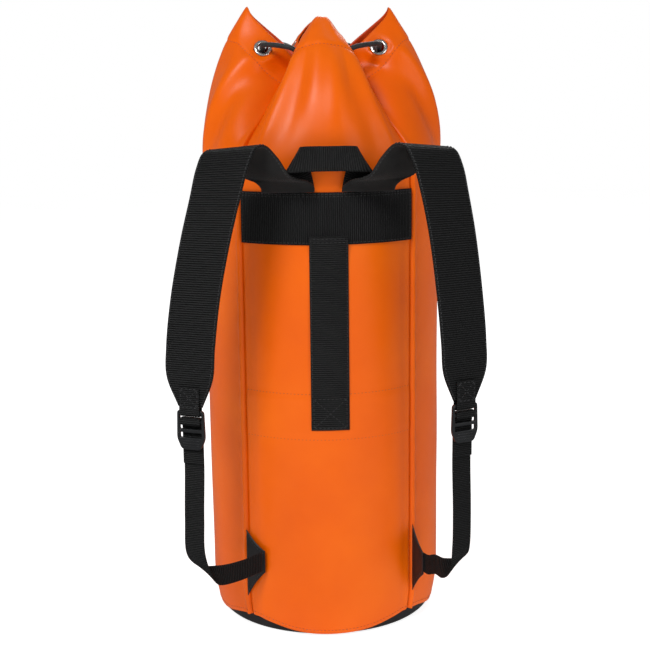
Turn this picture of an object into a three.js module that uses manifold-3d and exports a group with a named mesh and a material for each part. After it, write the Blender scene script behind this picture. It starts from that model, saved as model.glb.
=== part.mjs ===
// Rope storage bag: a round PVC tarpaulin tube bag with a drawcord mouth and a two-strap harness.
// Millimetres, +Z up. The origin is at the centre of the base's underside; the harness faces -Y.
import * as THREE from 'three';
import { mergeVertices } from 'three/addons/utils/BufferGeometryUtils.js';
import Module from 'manifold-3d';

const wasm = await Module();
wasm.setup();

// ---- Driving dimensions ----
const BAG_RADIUS = 145;
const WALL = 3;
const PANEL_HEIGHT = 763; // along the cloth, from the base to the hem's edge
const GATHER_START = 570; // height at which the wall starts to lean in
const BASE_ROUND_HEIGHT = 55;
const BASE_ROUND_DEPTH = 8;
const BASE_THICKNESS = 1.8;
const BASE_WALL_HEIGHT = 34;
const BASE_CLEARANCE = 1.6; // between the panels and the base's turned-up wall
const SEAM_HALF_ANGLE = 43.5; // degrees each side of the harness's middle
const SEAM_RISE = 14; // how far the panels' lower edge rises at the seams
const GAP = 0.3; // between touching pieces

// The gathered mouth has four lobes. Each is given in its own directions: outwards and sideways.
const SIDE_LOBE = { tip: 104, shoulderOut: 52, shoulderSide: 30 };
const FACE_LOBE = { tip: 68, shoulderOut: 46, shoulderSide: 28 };
const VALLEY_DEPTH = 9;
const VALLEY_CLEARANCE = 0.5; // between the two panels where they touch in a valley
// Share of its height above the gather that the cloth loses in a valley: beside the harness, and in front.
const SEAM_SAG = 0.3;
const FRONT_SAG = 0.22;
const SAG_POWER = 0.65;
const TIP_POWER = 1.9;
const VALLEY_POWER = 1.3;
const LOBE_ROUNDING = 0.3; // share of a lobe's half-width over which its corners are rounded

const EYELET_HEIGHT = PANEL_HEIGHT - 24;
const EYELET_HOLE_RADIUS = 6;
const EYELET_BARREL_RADIUS = 7;
const EYELET_FLANGE_RADIUS = 10.5;
const FLANGE_SEAT = 1.2; // from the wall's middle to the flange's underside

const CORD_RADIUS = 3;
const LOCK_DISTANCE = 157.5; // cord lock's centre, from the bag's axis
const LOCK_HEIGHT = 600;
const LOCK_RADIUS = 10.5;
const LOCK_BORE_RADIUS = 8.8;
const LOCK_TRAVEL = 5;
const CORD_SPACING = 6.8;
const TAIL_END_HEIGHT = 335;

const WEB = 2; // webbing thickness
const BAND_LOW = 480;
const BAND_HIGH = 540;
const STRAP_WIDTH = 60;
const STRAP_THICKNESS = 4;
const ADJUSTER_WIDTH = 25;
const CENTRE_WEB_WIDTH = 45;
const CENTRE_WEB_LOW = 261;
const HANDLE_WIDTH = 28;

const TAB_LOW = 43;
const TAB_HIGH = 128;
const TAB_THICKNESS = 2.4;

const BUCKLE_WIDTH = 35;
const BUCKLE_LENGTH = 46;
const BUCKLE_THICKNESS = 4;

const BACK = -90; // the harness side's direction, in degrees

// The lobes lie between four valleys, and the seams run up the two valleys beside the back lobe.
const LOBES = [
  { low: BACK - SEAM_HALF_ANGLE, high: BACK + SEAM_HALF_ANGLE, out: BACK, shape: FACE_LOBE, sags: [SEAM_SAG, SEAM_SAG] },
  { low: BACK + SEAM_HALF_ANGLE, high: 45, out: 0, shape: SIDE_LOBE, sags: [SEAM_SAG, FRONT_SAG] },
  { low: 45, high: 135, out: 90, shape: FACE_LOBE, sags: [FRONT_SAG, FRONT_SAG] },
  { low: 135, high: BACK - SEAM_HALF_ANGLE + 360, out: 180, shape: SIDE_LOBE, sags: [FRONT_SAG, SEAM_SAG] },
];

// ---- Materials ----
function paint(color, roughness, metalness = 0) {
  return new THREE.MeshStandardMaterial({ color, roughness, metalness });
}
const orangeTarpaulin = paint(0xf26a12, 0.42);
const greyTarpaulin = paint(0x4a4145, 0.5);
const blackWebbing = paint(0x17181a, 0.85);
const blackPlastic = paint(0x1a1b1d, 0.35);
const blackCord = paint(0x1c1d1e, 0.8);
const nickel = paint(0xc9cbcc, 0.25, 1);
const springSteel = paint(0xa8abad, 0.3, 1);

// ---- Helpers ----
const bag = new THREE.Group();

function put(name, geometry, material, parent = bag) {
  const mesh = new THREE.Mesh(geometry, material);
  mesh.name = name;
  parent.add(mesh);
  return mesh;
}

function radians(degrees) {
  return THREE.MathUtils.degToRad(degrees);
}

function spread(low, high, steps) {
  return Array.from({ length: steps + 1 }, (_, i) => low + ((high - low) * i) / steps);
}

function positionsOnly(geometry) {
  const plain = geometry.clone();
  plain.deleteAttribute('normal');
  plain.deleteAttribute('uv');
  return mergeVertices(plain, 1e-4);
}

function solid(geometry) {
  const plain = positionsOnly(geometry);
  return new wasm.Manifold(new wasm.Mesh({
    numProp: 3,
    vertProperties: new Float32Array(plain.attributes.position.array),
    triVerts: new Uint32Array(plain.index.array),
  }));
}

function geometryOf(manifold) {
  const mesh = manifold.getMesh();
  const geometry = new THREE.BufferGeometry();
  geometry.setAttribute('position', new THREE.BufferAttribute(mesh.vertProperties, 3));
  geometry.setIndex(new THREE.BufferAttribute(mesh.triVerts, 1));
  geometry.computeVertexNormals();
  return geometry;
}

function placed(geometry, position, direction) {
  const turn = new THREE.Quaternion().setFromUnitVectors(new THREE.Vector3(0, 0, 1), direction);
  return geometry.clone().applyQuaternion(turn).translate(position.x, position.y, position.z);
}

function cylinder(radius, low, high, sides) {
  const rod = new THREE.CylinderGeometry(radius, radius, high - low, sides);
  return rod.rotateX(Math.PI / 2).translate(0, 0, (low + high) / 2);
}

function lathe(points, sides) {
  const outline = points.map(([radius, height]) => new THREE.Vector2(radius, height));
  return new THREE.LatheGeometry(outline, sides).rotateX(Math.PI / 2);
}

function gridNormal(rows, i, j) {
  const lastRow = rows.length - 1;
  const lastColumn = rows[0].length - 1;
  const along = rows[i][Math.min(j + 1, lastColumn)].clone().sub(rows[i][Math.max(j - 1, 0)]);
  const up = rows[Math.min(i + 1, lastRow)][j].clone().sub(rows[Math.max(i - 1, 0)][j]);
  return along.cross(up).normalize();
}

// A closed sheet of the given thickness about a grid of middle points, rows by columns.
function sheet(rows, thickness, normalAt = (i, j) => gridNormal(rows, i, j)) {
  const rowCount = rows.length;
  const columnCount = rows[0].length;
  const positions = [];
  for (const side of [0.5, -0.5]) {
    for (let i = 0; i < rowCount; i += 1) {
      for (let j = 0; j < columnCount; j += 1) {
        const moved = rows[i][j].clone().addScaledVector(normalAt(i, j), side * thickness);
        positions.push(...moved.toArray());
      }
    }
  }
  const count = rowCount * columnCount;
  const index = [];
  const quad = (a, b, c, d) => index.push(a, b, c, a, c, d);
  for (let i = 0; i + 1 < rowCount; i += 1) {
    for (let j = 0; j + 1 < columnCount; j += 1) {
      const a = i * columnCount + j;
      const b = a + columnCount;
      quad(a, a + 1, b + 1, b);
      quad(count + a, count + b, count + b + 1, count + a + 1);
    }
    const left = i * columnCount;
    const right = left + columnCount - 1;
    quad(left, left + columnCount, count + left + columnCount, count + left);
    quad(right, count + right, count + right + columnCount, right + columnCount);
  }
  for (let j = 0; j + 1 < columnCount; j += 1) {
    const top = (rowCount - 1) * columnCount + j;
    quad(j, count + j, count + j + 1, j + 1);
    quad(top, top + 1, count + top + 1, count + top);
  }
  const geometry = new THREE.BufferGeometry();
  geometry.setAttribute('position', new THREE.Float32BufferAttribute(positions, 3));
  geometry.setIndex(index);
  geometry.computeVertexNormals();
  return geometry;
}

// Webbing laid along stations: [middle point, direction of its width, share of the full width].
function webbing(stations, width, thickness) {
  const rows = stations.map(([point, across, share = 1]) => [-0.5, 0.5]
    .map((side) => point.clone().addScaledVector(across.clone().normalize(), side * width * share)));
  return sheet(rows, thickness);
}

function tube(points, radius, steps, sides = 8) {
  const outline = new THREE.Shape(spread(0, 2 * Math.PI, sides).slice(0, -1)
    .map((turn) => new THREE.Vector2(radius * Math.cos(turn), radius * Math.sin(turn))));
  const path = Array.isArray(points) ? new THREE.CatmullRomCurve3(points, false, 'centripetal') : points;
  return new THREE.ExtrudeGeometry(outline, { steps, extrudePath: path, bevelEnabled: false });
}

function vector(x, y, z) {
  return new THREE.Vector3(x, y, z);
}

// ---- The bag's wall ----
function baseInset(height) {
  const below = Math.max(0, 1 - height / BASE_ROUND_HEIGHT);
  return BASE_ROUND_DEPTH * below * below;
}

// From first to last by way of middle, as two straight runs.
function twoRuns(first, middle, last, t) {
  return t < 0.5
    ? THREE.MathUtils.lerp(first, middle, 2 * t)
    : THREE.MathUtils.lerp(middle, last, 2 * t - 1);
}

// The lobe that an angle lies in, and how far across it: 0 at its middle, -1 and 1 at its valleys.
function lobeAt(angle) {
  const start = LOBES[0].low;
  const turned = start + THREE.MathUtils.euclideanModulo(angle - start, 360);
  const lobe = LOBES.find(({ high }) => turned <= high);
  const half = (lobe.high - lobe.low) / 2;
  return { ...lobe, from: (turned - lobe.low - half) / half };
}

// Where a line up the cloth ends at the hem, seen from above.
function hemPoint(angle) {
  const { out: direction, shape, from } = lobeAt(angle);
  const outAt = (t) => twoRuns(shape.tip, shape.shoulderOut, VALLEY_DEPTH, Math.abs(t));
  const sideAt = (t) => twoRuns(0, shape.shoulderSide, VALLEY_DEPTH, Math.abs(t)) * Math.sign(t);
  const reach = LOBE_ROUNDING * (1 - Math.abs(from));
  const rounded = (edgeAt) => (edgeAt(from - reach) + edgeAt(from) + edgeAt(from + reach)) / 3;
  const out = rounded(outAt);
  const side = rounded(sideAt);
  const lobeTurn = radians(direction);
  return vector(
    out * Math.cos(lobeTurn) - side * Math.sin(lobeTurn),
    out * Math.sin(lobeTurn) + side * Math.cos(lobeTurn),
    0,
  );
}

function gatherPower(angle) {
  return THREE.MathUtils.lerp(TIP_POWER, VALLEY_POWER, Math.abs(lobeAt(angle).from));
}

// A point on the cloth at a distance up it, at an angle round it, on a circle of the given radius.
function clothPoint(angle, distance, radius) {
  const foot = vector(Math.cos(radians(angle)), Math.sin(radians(angle)), 0).multiplyScalar(radius);
  if (distance <= GATHER_START) {
    const inset = 1 - baseInset(distance) / BAG_RADIUS;
    return foot.multiplyScalar(inset).setZ(distance);
  }
  const span = PANEL_HEIGHT - GATHER_START;
  const power = gatherPower(angle);
  const hem = hemPoint(angle);
  const share = (along) => ((along - GATHER_START) / span) ** power;
  const { from, sags } = lobeAt(angle);
  const kept = 1 - sags[from < 0 ? 0 : 1] * Math.abs(from) ** SAG_POWER;
  let rise = 0;
  const steps = 24;
  const step = (distance - GATHER_START) / steps;
  for (let i = 0; i < steps; i += 1) {
    const low = GATHER_START + i * step;
    const leaned = foot.distanceTo(hem) * (share(low + step) - share(low));
    rise += Math.sqrt(Math.max(step * step - leaned * leaned, 0.04 * step * step));
  }
  return foot.lerp(hem, share(distance)).setZ(GATHER_START + kept * rise);
}

const wallMiddle = BAG_RADIUS - WALL / 2;

function wallPoint(angle, distance) {
  return clothPoint(angle, distance, wallMiddle);
}

function wallNormal(angle, distance) {
  const along = wallPoint(angle + 1.5, distance).sub(wallPoint(angle - 1.5, distance));
  const up = wallPoint(angle, distance + 4).sub(wallPoint(angle, distance - 4));
  return along.cross(up).normalize();
}

function lowerEdge(angle) {
  const turned = Math.abs(THREE.MathUtils.euclideanModulo(angle - BACK + 180, 360) - 180);
  const fromSeam = (turned - SEAM_HALF_ANGLE) / 20;
  return 3 + SEAM_RISE * Math.exp(-fromSeam * fromSeam);
}

const wallHeights = [60, 170, 300, 430, ...spread(GATHER_START - 15, EYELET_HEIGHT, 8), EYELET_HEIGHT + 13,
  PANEL_HEIGHT];

function wallPanel(angles, thickness = WALL) {
  const lowRows = [(angle) => lowerEdge(angle), () => 30];
  const heightAt = [...lowRows, ...wallHeights.map((height) => () => height)];
  const rows = heightAt.map((height) => angles.map((angle) => wallPoint(angle, height(angle))));
  return sheet(rows, thickness, (i, j) => wallNormal(angles[j], heightAt[i](angles[j])));
}

// Two eyelets to a lobe, halfway from its middle to each valley, in order round the mouth.
const eyelets = LOBES.flatMap(({ low, high }) => [0.25, 0.75].map((share) => {
  const angle = THREE.MathUtils.lerp(low, high, share);
  return {
    middle: wallPoint(angle, EYELET_HEIGHT),
    outwards: wallNormal(angle, EYELET_HEIGHT),
  };
}));

// Each eyelet's hole, with a flat seat cut for the flange outside and the washer inside.
function withEyeletSeats(panel) {
  let cut = panel;
  const seat = FLANGE_SEAT - GAP;
  for (const { middle, outwards } of eyelets) {
    const bore = cylinder(EYELET_BARREL_RADIUS + GAP, -8, 8, 16);
    const outerSeat = cylinder(EYELET_FLANGE_RADIUS + GAP, seat, 9, 16);
    const innerSeat = cylinder(EYELET_FLANGE_RADIUS + GAP, -9, -seat, 16);
    for (const tool of [bore, outerSeat, innerSeat]) {
      cut = cut.subtract(solid(placed(tool, middle, outwards)));
    }
  }
  return geometryOf(cut);
}

function addWall() {
  const seamGap = 0.07; // degrees
  const [backLobe, ...otherLobes] = LOBES;
  const backAngles = spread(backLobe.low, backLobe.high, 16);
  const sideAngles = otherLobes.flatMap(({ low, high }) => spread(low, high, 16).slice(1));
  sideAngles.unshift(backLobe.high);
  for (const angles of [backAngles, sideAngles]) {
    angles[0] += seamGap;
    angles[angles.length - 1] -= seamGap;
  }
  const back = solid(wallPanel(backAngles));
  // The two panels touch deep in the valleys, so the wrap panel is cut clear of the back one there.
  let wrap = solid(wallPanel(sideAngles));
  for (const turn of spread(0, 315, 7).map(radians)) {
    const shift = [VALLEY_CLEARANCE * Math.cos(turn), VALLEY_CLEARANCE * Math.sin(turn), 0];
    wrap = wrap.subtract(back.translate(shift));
  }
  wrap = wrap.decompose().reduce((a, b) => (a.volume() > b.volume() ? a : b));
  put('back_panel', withEyeletSeats(back), orangeTarpaulin);
  put('wrap_panel', withEyeletSeats(wrap), orangeTarpaulin);
}

// A round floor with a low turned-up wall on its edge, inside the panels' lower edge.
function addBase() {
  const outer = BAG_RADIUS - WALL - BASE_CLEARANCE;
  const foot = outer - baseInset(0);
  const floor = [[0, 0], [foot - 6, 0], [foot, BASE_THICKNESS - 0.4], [foot, BASE_THICKNESS], [0, BASE_THICKNESS]];
  put('base_floor', lathe(floor, 48), greyTarpaulin);

  const heights = [BASE_THICKNESS + GAP, 10, 20, BASE_WALL_HEIGHT];
  const outside = heights.map((height) => [outer - baseInset(height), height]);
  const inside = outside.map(([radius, height]) => [radius - BASE_THICKNESS, height]).reverse();
  put('base_wall', lathe([...outside, ...inside, outside[0]], 48), greyTarpaulin);
}

// ---- Flat pieces sewn on the back panel ----
function onBack(angle, height, offset) {
  const radius = BAG_RADIUS + offset;
  return vector(radius * Math.cos(radians(angle)), radius * Math.sin(radians(angle)), height);
}

function addBackPieces() {
  const acrossBack = spread(BACK - SEAM_HALF_ANGLE + 0.6, BACK + SEAM_HALF_ANGLE - 0.6, 16);
  const bandOffset = GAP + WEB / 2;
  put('back_band', sheet([BAND_LOW, BAND_HIGH]
    .map((height) => acrossBack.map((angle) => onBack(angle, height, bandOffset))), WEB), blackWebbing);

  const innerStrip = -WALL - 2 * GAP - WEB / 2;
  put('inner_reinforcement_strip', sheet([249, 304]
    .map((height) => acrossBack.map((angle) => onBack(angle, height, innerStrip))), WEB), orangeTarpaulin);

  const halfAngle = THREE.MathUtils.radToDeg(CENTRE_WEB_WIDTH / 2 / BAG_RADIUS);
  const centreAngles = spread(BACK - halfAngle, BACK + halfAngle, 4);
  const onPanel = 2 * GAP + WEB / 2;
  const onBand = onPanel + WEB + 2 * GAP;
  const centreRows = [[CENTRE_WEB_LOW, onPanel], [BAND_LOW - 9, onPanel], [BAND_LOW - 2, onBand],
    [BAND_LOW + 10, onBand]];
  put('center_webbing', sheet(centreRows
    .map(([height, offset]) => centreAngles.map((angle) => onBack(angle, height, offset))), WEB), blackWebbing);
}

// The handle is one strip: a level face whose ends fold back along slanting lines, so that its legs
// run down and inwards behind it to the band. These stations go from its middle to one foot.
function addGrabHandle() {
  const half = [
    [vector(0, -165, 579), vector(0, 0.1, 1)],
    [vector(35, -163.5, 578), vector(-0.3, 0.1, 1), 1.08],
    [vector(40, -160, 577), vector(-0.54, 0.1, 0.84), 1.19],
    [vector(36.5, -156.5, 571), vector(-0.7, 0, 0.6)],
    [vector(32.5, -152, 559), vector(-0.9, 0, 0.42)],
    [vector(29, -147, BAND_HIGH + 1), vector(-0.98, -0.05, 0.2)],
  ];
  const stations = [...mirrored(half.slice(1), -1).reverse(), ...half];
  put('grab_handle', webbing(stations, HANDLE_WIDTH, WEB), blackWebbing);
}

// ---- Shoulder harness: side is -1 for the left strap and 1 for the right ----
const strapStations = [
  [vector(46, -156, 551), vector(1, 0, 0)],
  [vector(53, -160, 554), vector(0.98, 0.1, 0)],
  [vector(69, -165, 560), vector(0.88, 0.4, 0)],
  [vector(86, -171, 578), vector(0.88, 0.3, -0.14)],
  [vector(100, -180, 592), vector(0.93, 0.2, -0.1)],
  [vector(110, -189, 590), vector(0.95, 0.22, -0.08)],
  [vector(118, -194, 573), vector(0.95, 0.28, -0.06)],
  [vector(126, -195, 540), vector(0.93, 0.36, -0.03)],
  [vector(135, -192, 495), vector(0.92, 0.39, 0)],
  [vector(144, -189, 430), vector(0.92, 0.39, 0)],
  [vector(150, -184.5, 372), vector(0.92, 0.39, 0)],
  [vector(152, -181, 336), vector(0.92, 0.39, 0), 0.95],
  [vector(152, -181, 303), vector(0.92, 0.39, 0), 0.5],
];
const strapRootStations = [
  [vector(45, -151, BAND_HIGH + 1.3), vector(1, 0, 0)],
  [vector(46, -154.5, 547), vector(1, 0, 0)],
];
const buckleBar = vector(152, -181, 297);
const buckleAcross = vector(0.92, 0.39, 0).normalize();
const buckleFront = vector(0.39, -0.92, 0).normalize();
const LOAD_LAYER = 5.6; // how far the adjuster lies behind the ladder lock's middle
const WRAP_END = -50;

// How far each strap's lower part hangs out beyond the stations.
const sides = {
  left: { side: -1, hangOut: 9, tabTip: vector(80, -128, 94), adjusterEnd: vector(82, -132.5, 96) },
  right: { side: 1, hangOut: 0, tabTip: vector(112, -131, 86), adjusterEnd: vector(117, -136.5, 87) },
};

function hangShare(height) {
  return THREE.MathUtils.smoothstep(-height, -575, -380) * THREE.MathUtils.smoothstep(height, 84, 125);
}

function mirrored(stations, side, hangOut = 0) {
  return stations.map(([point, across, share]) => [
    vector((point.x + hangOut * hangShare(point.z)) * side, point.y, point.z),
    vector(across.x * side, across.y, across.z),
    share,
  ]);
}

// A station in the ladder lock's own directions: towards the viewer of its front, and up.
function buckleStation([front, up], tilt = 0) {
  const point = buckleBar.clone().addScaledVector(buckleFront, front).add(vector(0, 0, up));
  return [point, buckleAcross.clone().add(vector(0, 0, tilt))];
}

// One moulding: a frame with three crossbars, three slots and a thumb lip below.
function ladderLock() {
  const half = BUCKLE_WIDTH / 2;
  const low = 2 - BUCKLE_LENGTH;
  const lip = -31;
  const outline = new THREE.Shape();
  outline.moveTo(-half + 3, 2);
  outline.lineTo(half - 3, 2);
  outline.quadraticCurveTo(half - 1, 2, half - 1, -1);
  outline.lineTo(half, lip);
  outline.lineTo(half - 5, low + 3);
  outline.quadraticCurveTo(half - 6, low, half - 9, low);
  outline.lineTo(-half + 9, low);
  outline.quadraticCurveTo(-half + 6, low, -half + 5, low + 3);
  outline.lineTo(-half, lip);
  outline.lineTo(-half + 1, -1);
  outline.quadraticCurveTo(-half + 1, 2, -half + 3, 2);
  const slots = [[-9, -2], [-20, -13], [-30, -24]];
  const slotHalf = ADJUSTER_WIDTH / 2 + 1;
  for (const [bottom, top] of slots) {
    outline.holes.push(new THREE.Path([
      new THREE.Vector2(-slotHalf, bottom),
      new THREE.Vector2(slotHalf, bottom),
      new THREE.Vector2(slotHalf, top),
      new THREE.Vector2(-slotHalf, top),
    ]));
  }
  const plate = new THREE.ExtrudeGeometry(outline, {
    depth: BUCKLE_THICKNESS,
    bevelEnabled: false,
    curveSegments: 5,
  });
  return plate.translate(0, 0, -BUCKLE_THICKNESS / 2);
}

// The 25 mm webbing sewn over the strap's end, folded round the ladder lock's top bar.
const buckleLoopPath = [[3.5, 30], [3.5, -1.4], [2.5, -3.8], [0, -4.6], [-2.5, -3.8], [-3.5, -1.4], [-3.5, 30]];
// The adjuster's upper end: up behind the lock, over the second bar and back down behind as a tail.
const adjusterWrapPath = [[-LOAD_LAYER, WRAP_END], [-LOAD_LAYER, -11], [-4.4, -7.6], [0, -7.2], [3.2, -8],
  [3.6, -11], [3.2, -14], [0, -15], [-2.6, -16.2], [-3.4, -19], [-3.4, -62]];

function adjusterStations({ side, hangOut, adjusterEnd }) {
  const end = vector(adjusterEnd.x, adjusterEnd.y, adjusterEnd.z);
  const bend = vector(132, -156, 90);
  return mirrored([
    buckleStation([-LOAD_LAYER, WRAP_END - 0.5]),
    [vector(150, -174.5, 225), vector(0.92, 0.39, 0)],
    [vector(152, -170, 165), vector(0.92, 0.39, 0)],
    [vector(152, -167, 122), vector(0.9, 0.38, 0.05)],
    [vector(150, -165, 104), vector(0.82, 0.34, 0.4)],
    [vector(144, -162, 94), vector(0.55, 0.2, 0.8)],
    [bend, vector(0.15, 0.05, 1)],
    [bend.clone().lerp(end, 0.5).setZ(91), vector(0, 0, 1)],
    [end, vector(0, 0, 1)],
  ], side, hangOut);
}

// The tab lies along its seam, and narrows to the end that the adjuster strap is sewn to.
function addStrapTab(name, { side, tabTip }) {
  const seam = onBack(BACK + side * SEAM_HALF_ANGLE, (TAB_LOW + TAB_HIGH) / 2, TAB_THICKNESS + GAP);
  const tip = vector(tabTip.x * side, tabTip.y, tabTip.z);
  const rows = [0, 1].map((out) => {
    const half = THREE.MathUtils.lerp((TAB_HIGH - TAB_LOW) / 2, ADJUSTER_WIDTH / 2 + 1, out);
    const middle = seam.clone().lerp(tip, out);
    return [-half, half].map((up) => middle.clone().add(vector(0, 0, up)));
  });
  put(`${name}_strap_tab`, sheet(rows, TAB_THICKNESS), greyTarpaulin);
}

function addHarness(name) {
  const place = sides[name];
  const { side, hangOut } = place;
  const strip = (piece, stations, width, thickness) => {
    const ordered = side > 0 ? stations : stations.map(([point, across, share]) => [point, across.negate(), share]);
    put(`${name}_${piece}`, webbing(ordered, width, thickness), blackWebbing);
  };
  const buckleStrip = (path) => mirrored(path.map((corner) => buckleStation(corner)), side, hangOut);
  strip('strap_root', mirrored(strapRootStations, side), STRAP_WIDTH, STRAP_THICKNESS);
  strip('shoulder_strap', mirrored(strapStations, side, hangOut), STRAP_WIDTH, STRAP_THICKNESS);
  strip('buckle_loop', buckleStrip(buckleLoopPath), ADJUSTER_WIDTH, 1.5);
  strip('adjuster_wrap', buckleStrip(adjusterWrapPath), ADJUSTER_WIDTH, 1.5);
  strip('adjuster_strap', adjusterStations(place), ADJUSTER_WIDTH, 1.5);
  const lock = put(`${name}_ladder_lock`, ladderLock(), blackPlastic);
  lock.position.set((buckleBar.x + hangOut) * side, buckleBar.y, buckleBar.z);
  lock.rotation.set(Math.PI / 2, 0, side * Math.atan2(buckleAcross.y, buckleAcross.x), 'ZXY');
  addStrapTab(name, place);
}

// ---- Mouth: eyelets, drawcord and cord lock ----
function addEyelets() {
  const barrel = EYELET_BARREL_RADIUS;
  const flange = EYELET_FLANGE_RADIUS;
  const eyeletShape = lathe([[EYELET_HOLE_RADIUS, -2.2], [barrel, -2.2], [barrel, FLANGE_SEAT],
    [flange, FLANGE_SEAT], [flange, FLANGE_SEAT + 0.4], [flange - 1.2, FLANGE_SEAT + 1],
    [EYELET_HOLE_RADIUS + 0.6, FLANGE_SEAT + 1], [EYELET_HOLE_RADIUS, FLANGE_SEAT + 0.3],
    [EYELET_HOLE_RADIUS, -2.2]], 16);
  const inner = barrel + GAP;
  const washerShape = lathe([[inner, -FLANGE_SEAT - 0.9], [flange, -FLANGE_SEAT - 0.6], [flange, -FLANGE_SEAT],
    [inner, -FLANGE_SEAT], [inner, -FLANGE_SEAT - 0.9]], 16);
  eyelets.forEach(({ middle, outwards }, i) => {
    put(`eyelet_${i + 1}`, placed(eyeletShape, middle, outwards), nickel);
    put(`eyelet_washer_${i + 1}`, placed(washerShape, middle, outwards), nickel);
  });
}

// The cord lock sits on the wall below the front right valley. Its own directions: along its plunger,
// down the cords, and out from the bag.
const lockOut = vector(Math.SQRT1_2, Math.SQRT1_2, 0);
const plungerWay = vector(Math.SQRT1_2, -Math.SQRT1_2, 0);
const lockFrame = new THREE.Matrix4()
  .makeBasis(vector(0, 0, -1), lockOut, plungerWay)
  .setPosition(lockOut.clone().multiplyScalar(LOCK_DISTANCE).setZ(LOCK_HEIGHT));

function beside(out, aside, height) {
  return lockOut.clone().multiplyScalar(out).addScaledVector(plungerWay, aside).setZ(height);
}

const cordWindow = CORD_RADIUS + 0.4;
const BARREL_FLOOR = -19;
const BARREL_MOUTH = 9.5;
const PLUNGER_FOOT = -9.5;

function windowTool(low, high) {
  const depth = CORD_SPACING + 2 * cordWindow;
  return solid(new THREE.BoxGeometry(40, depth, high - low).translate(0, 0, (low + high) / 2));
}

function addCordLock() {
  const barrel = solid(lathe([[0, BARREL_FLOOR - 1.8], [LOCK_RADIUS - 1.5, BARREL_FLOOR - 1.8],
    [LOCK_RADIUS, BARREL_FLOOR], [LOCK_RADIUS, BARREL_MOUTH - 1], [LOCK_RADIUS - 0.7, BARREL_MOUTH],
    [LOCK_BORE_RADIUS, BARREL_MOUTH], [LOCK_BORE_RADIUS, BARREL_FLOOR], [0, BARREL_FLOOR]], 24));
  const plungerRadius = LOCK_BORE_RADIUS - GAP;
  const plunger = solid(lathe([[0, PLUNGER_FOOT], [plungerRadius, PLUNGER_FOOT], [plungerRadius, 14.5],
    [plungerRadius - 1.2, 16.5], [0, 17.5]], 24));
  const barrelCut = barrel.subtract(windowTool(-cordWindow, cordWindow));
  const plungerCut = plunger.subtract(windowTool(-cordWindow, cordWindow + LOCK_TRAVEL));
  put('cord_lock_barrel', geometryOf(barrelCut).applyMatrix4(lockFrame), blackPlastic);
  put('cord_lock_plunger', geometryOf(plungerCut).applyMatrix4(lockFrame), blackPlastic);
  const turns = 4;
  const wire = 0.6;
  const coil = new THREE.CatmullRomCurve3(spread(0, turns, turns * 12).map((turn) => {
    const angle = turn * 2 * Math.PI;
    const along = THREE.MathUtils.lerp(BARREL_FLOOR + 1, PLUNGER_FOOT - 1, turn / turns);
    return vector(6 * Math.cos(angle), 6 * Math.sin(angle), along);
  }));
  put('cord_lock_spring', tube(coil, wire, turns * 12, 5).applyMatrix4(lockFrame), springSteel);
}

// The threaded stretch goes outside across each valley and inside each lobe. Its two ends come out
// of the front right valley's eyelets, and pass side by side through the cord lock.
function addDrawcord() {
  const firstEyelet = 4;
  const threaded = spread(0, 7, 7).flatMap((step) => {
    const { middle, outwards } = eyelets[(firstEyelet + step) % eyelets.length];
    const outside = middle.clone().addScaledVector(outwards, 9);
    const inside = middle.clone().addScaledVector(outwards, -9);
    return step % 2 === 0 ? [outside, middle, inside] : [inside, middle, outside];
  });
  const inner = LOCK_DISTANCE - CORD_SPACING / 2;
  const outer = LOCK_DISTANCE + CORD_SPACING / 2;
  const below = LOCK_HEIGHT - LOCK_RADIUS - 4;
  const start = [beside(inner, 0, below), beside(inner, 0, LOCK_HEIGHT), beside(inner, -1, 622),
    beside(148, -5, 646), beside(128, -12, 672), beside(100, -16, 696)];
  const finish = [beside(106, 18, 700), beside(134, 12, 676), beside(153, 5, 650),
    beside(outer, 1, 624), beside(outer, 0, LOCK_HEIGHT), beside(outer, 0, below)];
  put('drawcord', tube([...start, ...threaded, ...finish], CORD_RADIUS, 84), blackCord);

  const straightEnd = LOCK_HEIGHT - LOCK_RADIUS - 56;
  const tails = {
    left: [[inner, 0, straightEnd], [152, -3, 505], [150, -6, 470], [150.5, -7, 420],
      [154.5, -8, TAIL_END_HEIGHT + 22]],
    right: [[outer, 0, straightEnd], [158, 3, 505], [153, 7, 470], [151, 9, 420], [154.5, 10, TAIL_END_HEIGHT]],
  };
  for (const [name, bends] of Object.entries(tails)) {
    const points = [beside(bends[0][0], 0, below - GAP), ...bends.map((bend) => beside(...bend))];
    put(`drawcord_tail_${name}`, tube(points, CORD_RADIUS, 20), blackCord);
    const knot = new THREE.SphereGeometry(7, 12, 8).scale(1, 1, 1.2);
    const end = points[points.length - 1];
    knot.translate(end.x, end.y, end.z - 7 * 1.2 - GAP);
    put(`tail_knot_${name}`, knot, blackCord);
  }
}

addWall();
addBase();
addBackPieces();
addGrabHandle();
addHarness('left');
addHarness('right');
addEyelets();
addCordLock();
addDrawcord();

export default bag;
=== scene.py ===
"""Rope storage bag: the visual model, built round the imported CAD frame.

Lengths are in millimetres, and mesh_object() turns them into metres. +Z is up, and the harness faces -Y.
"""

import math

import bmesh
import bpy
import numpy as np
from mathutils import Matrix, Vector


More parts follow.
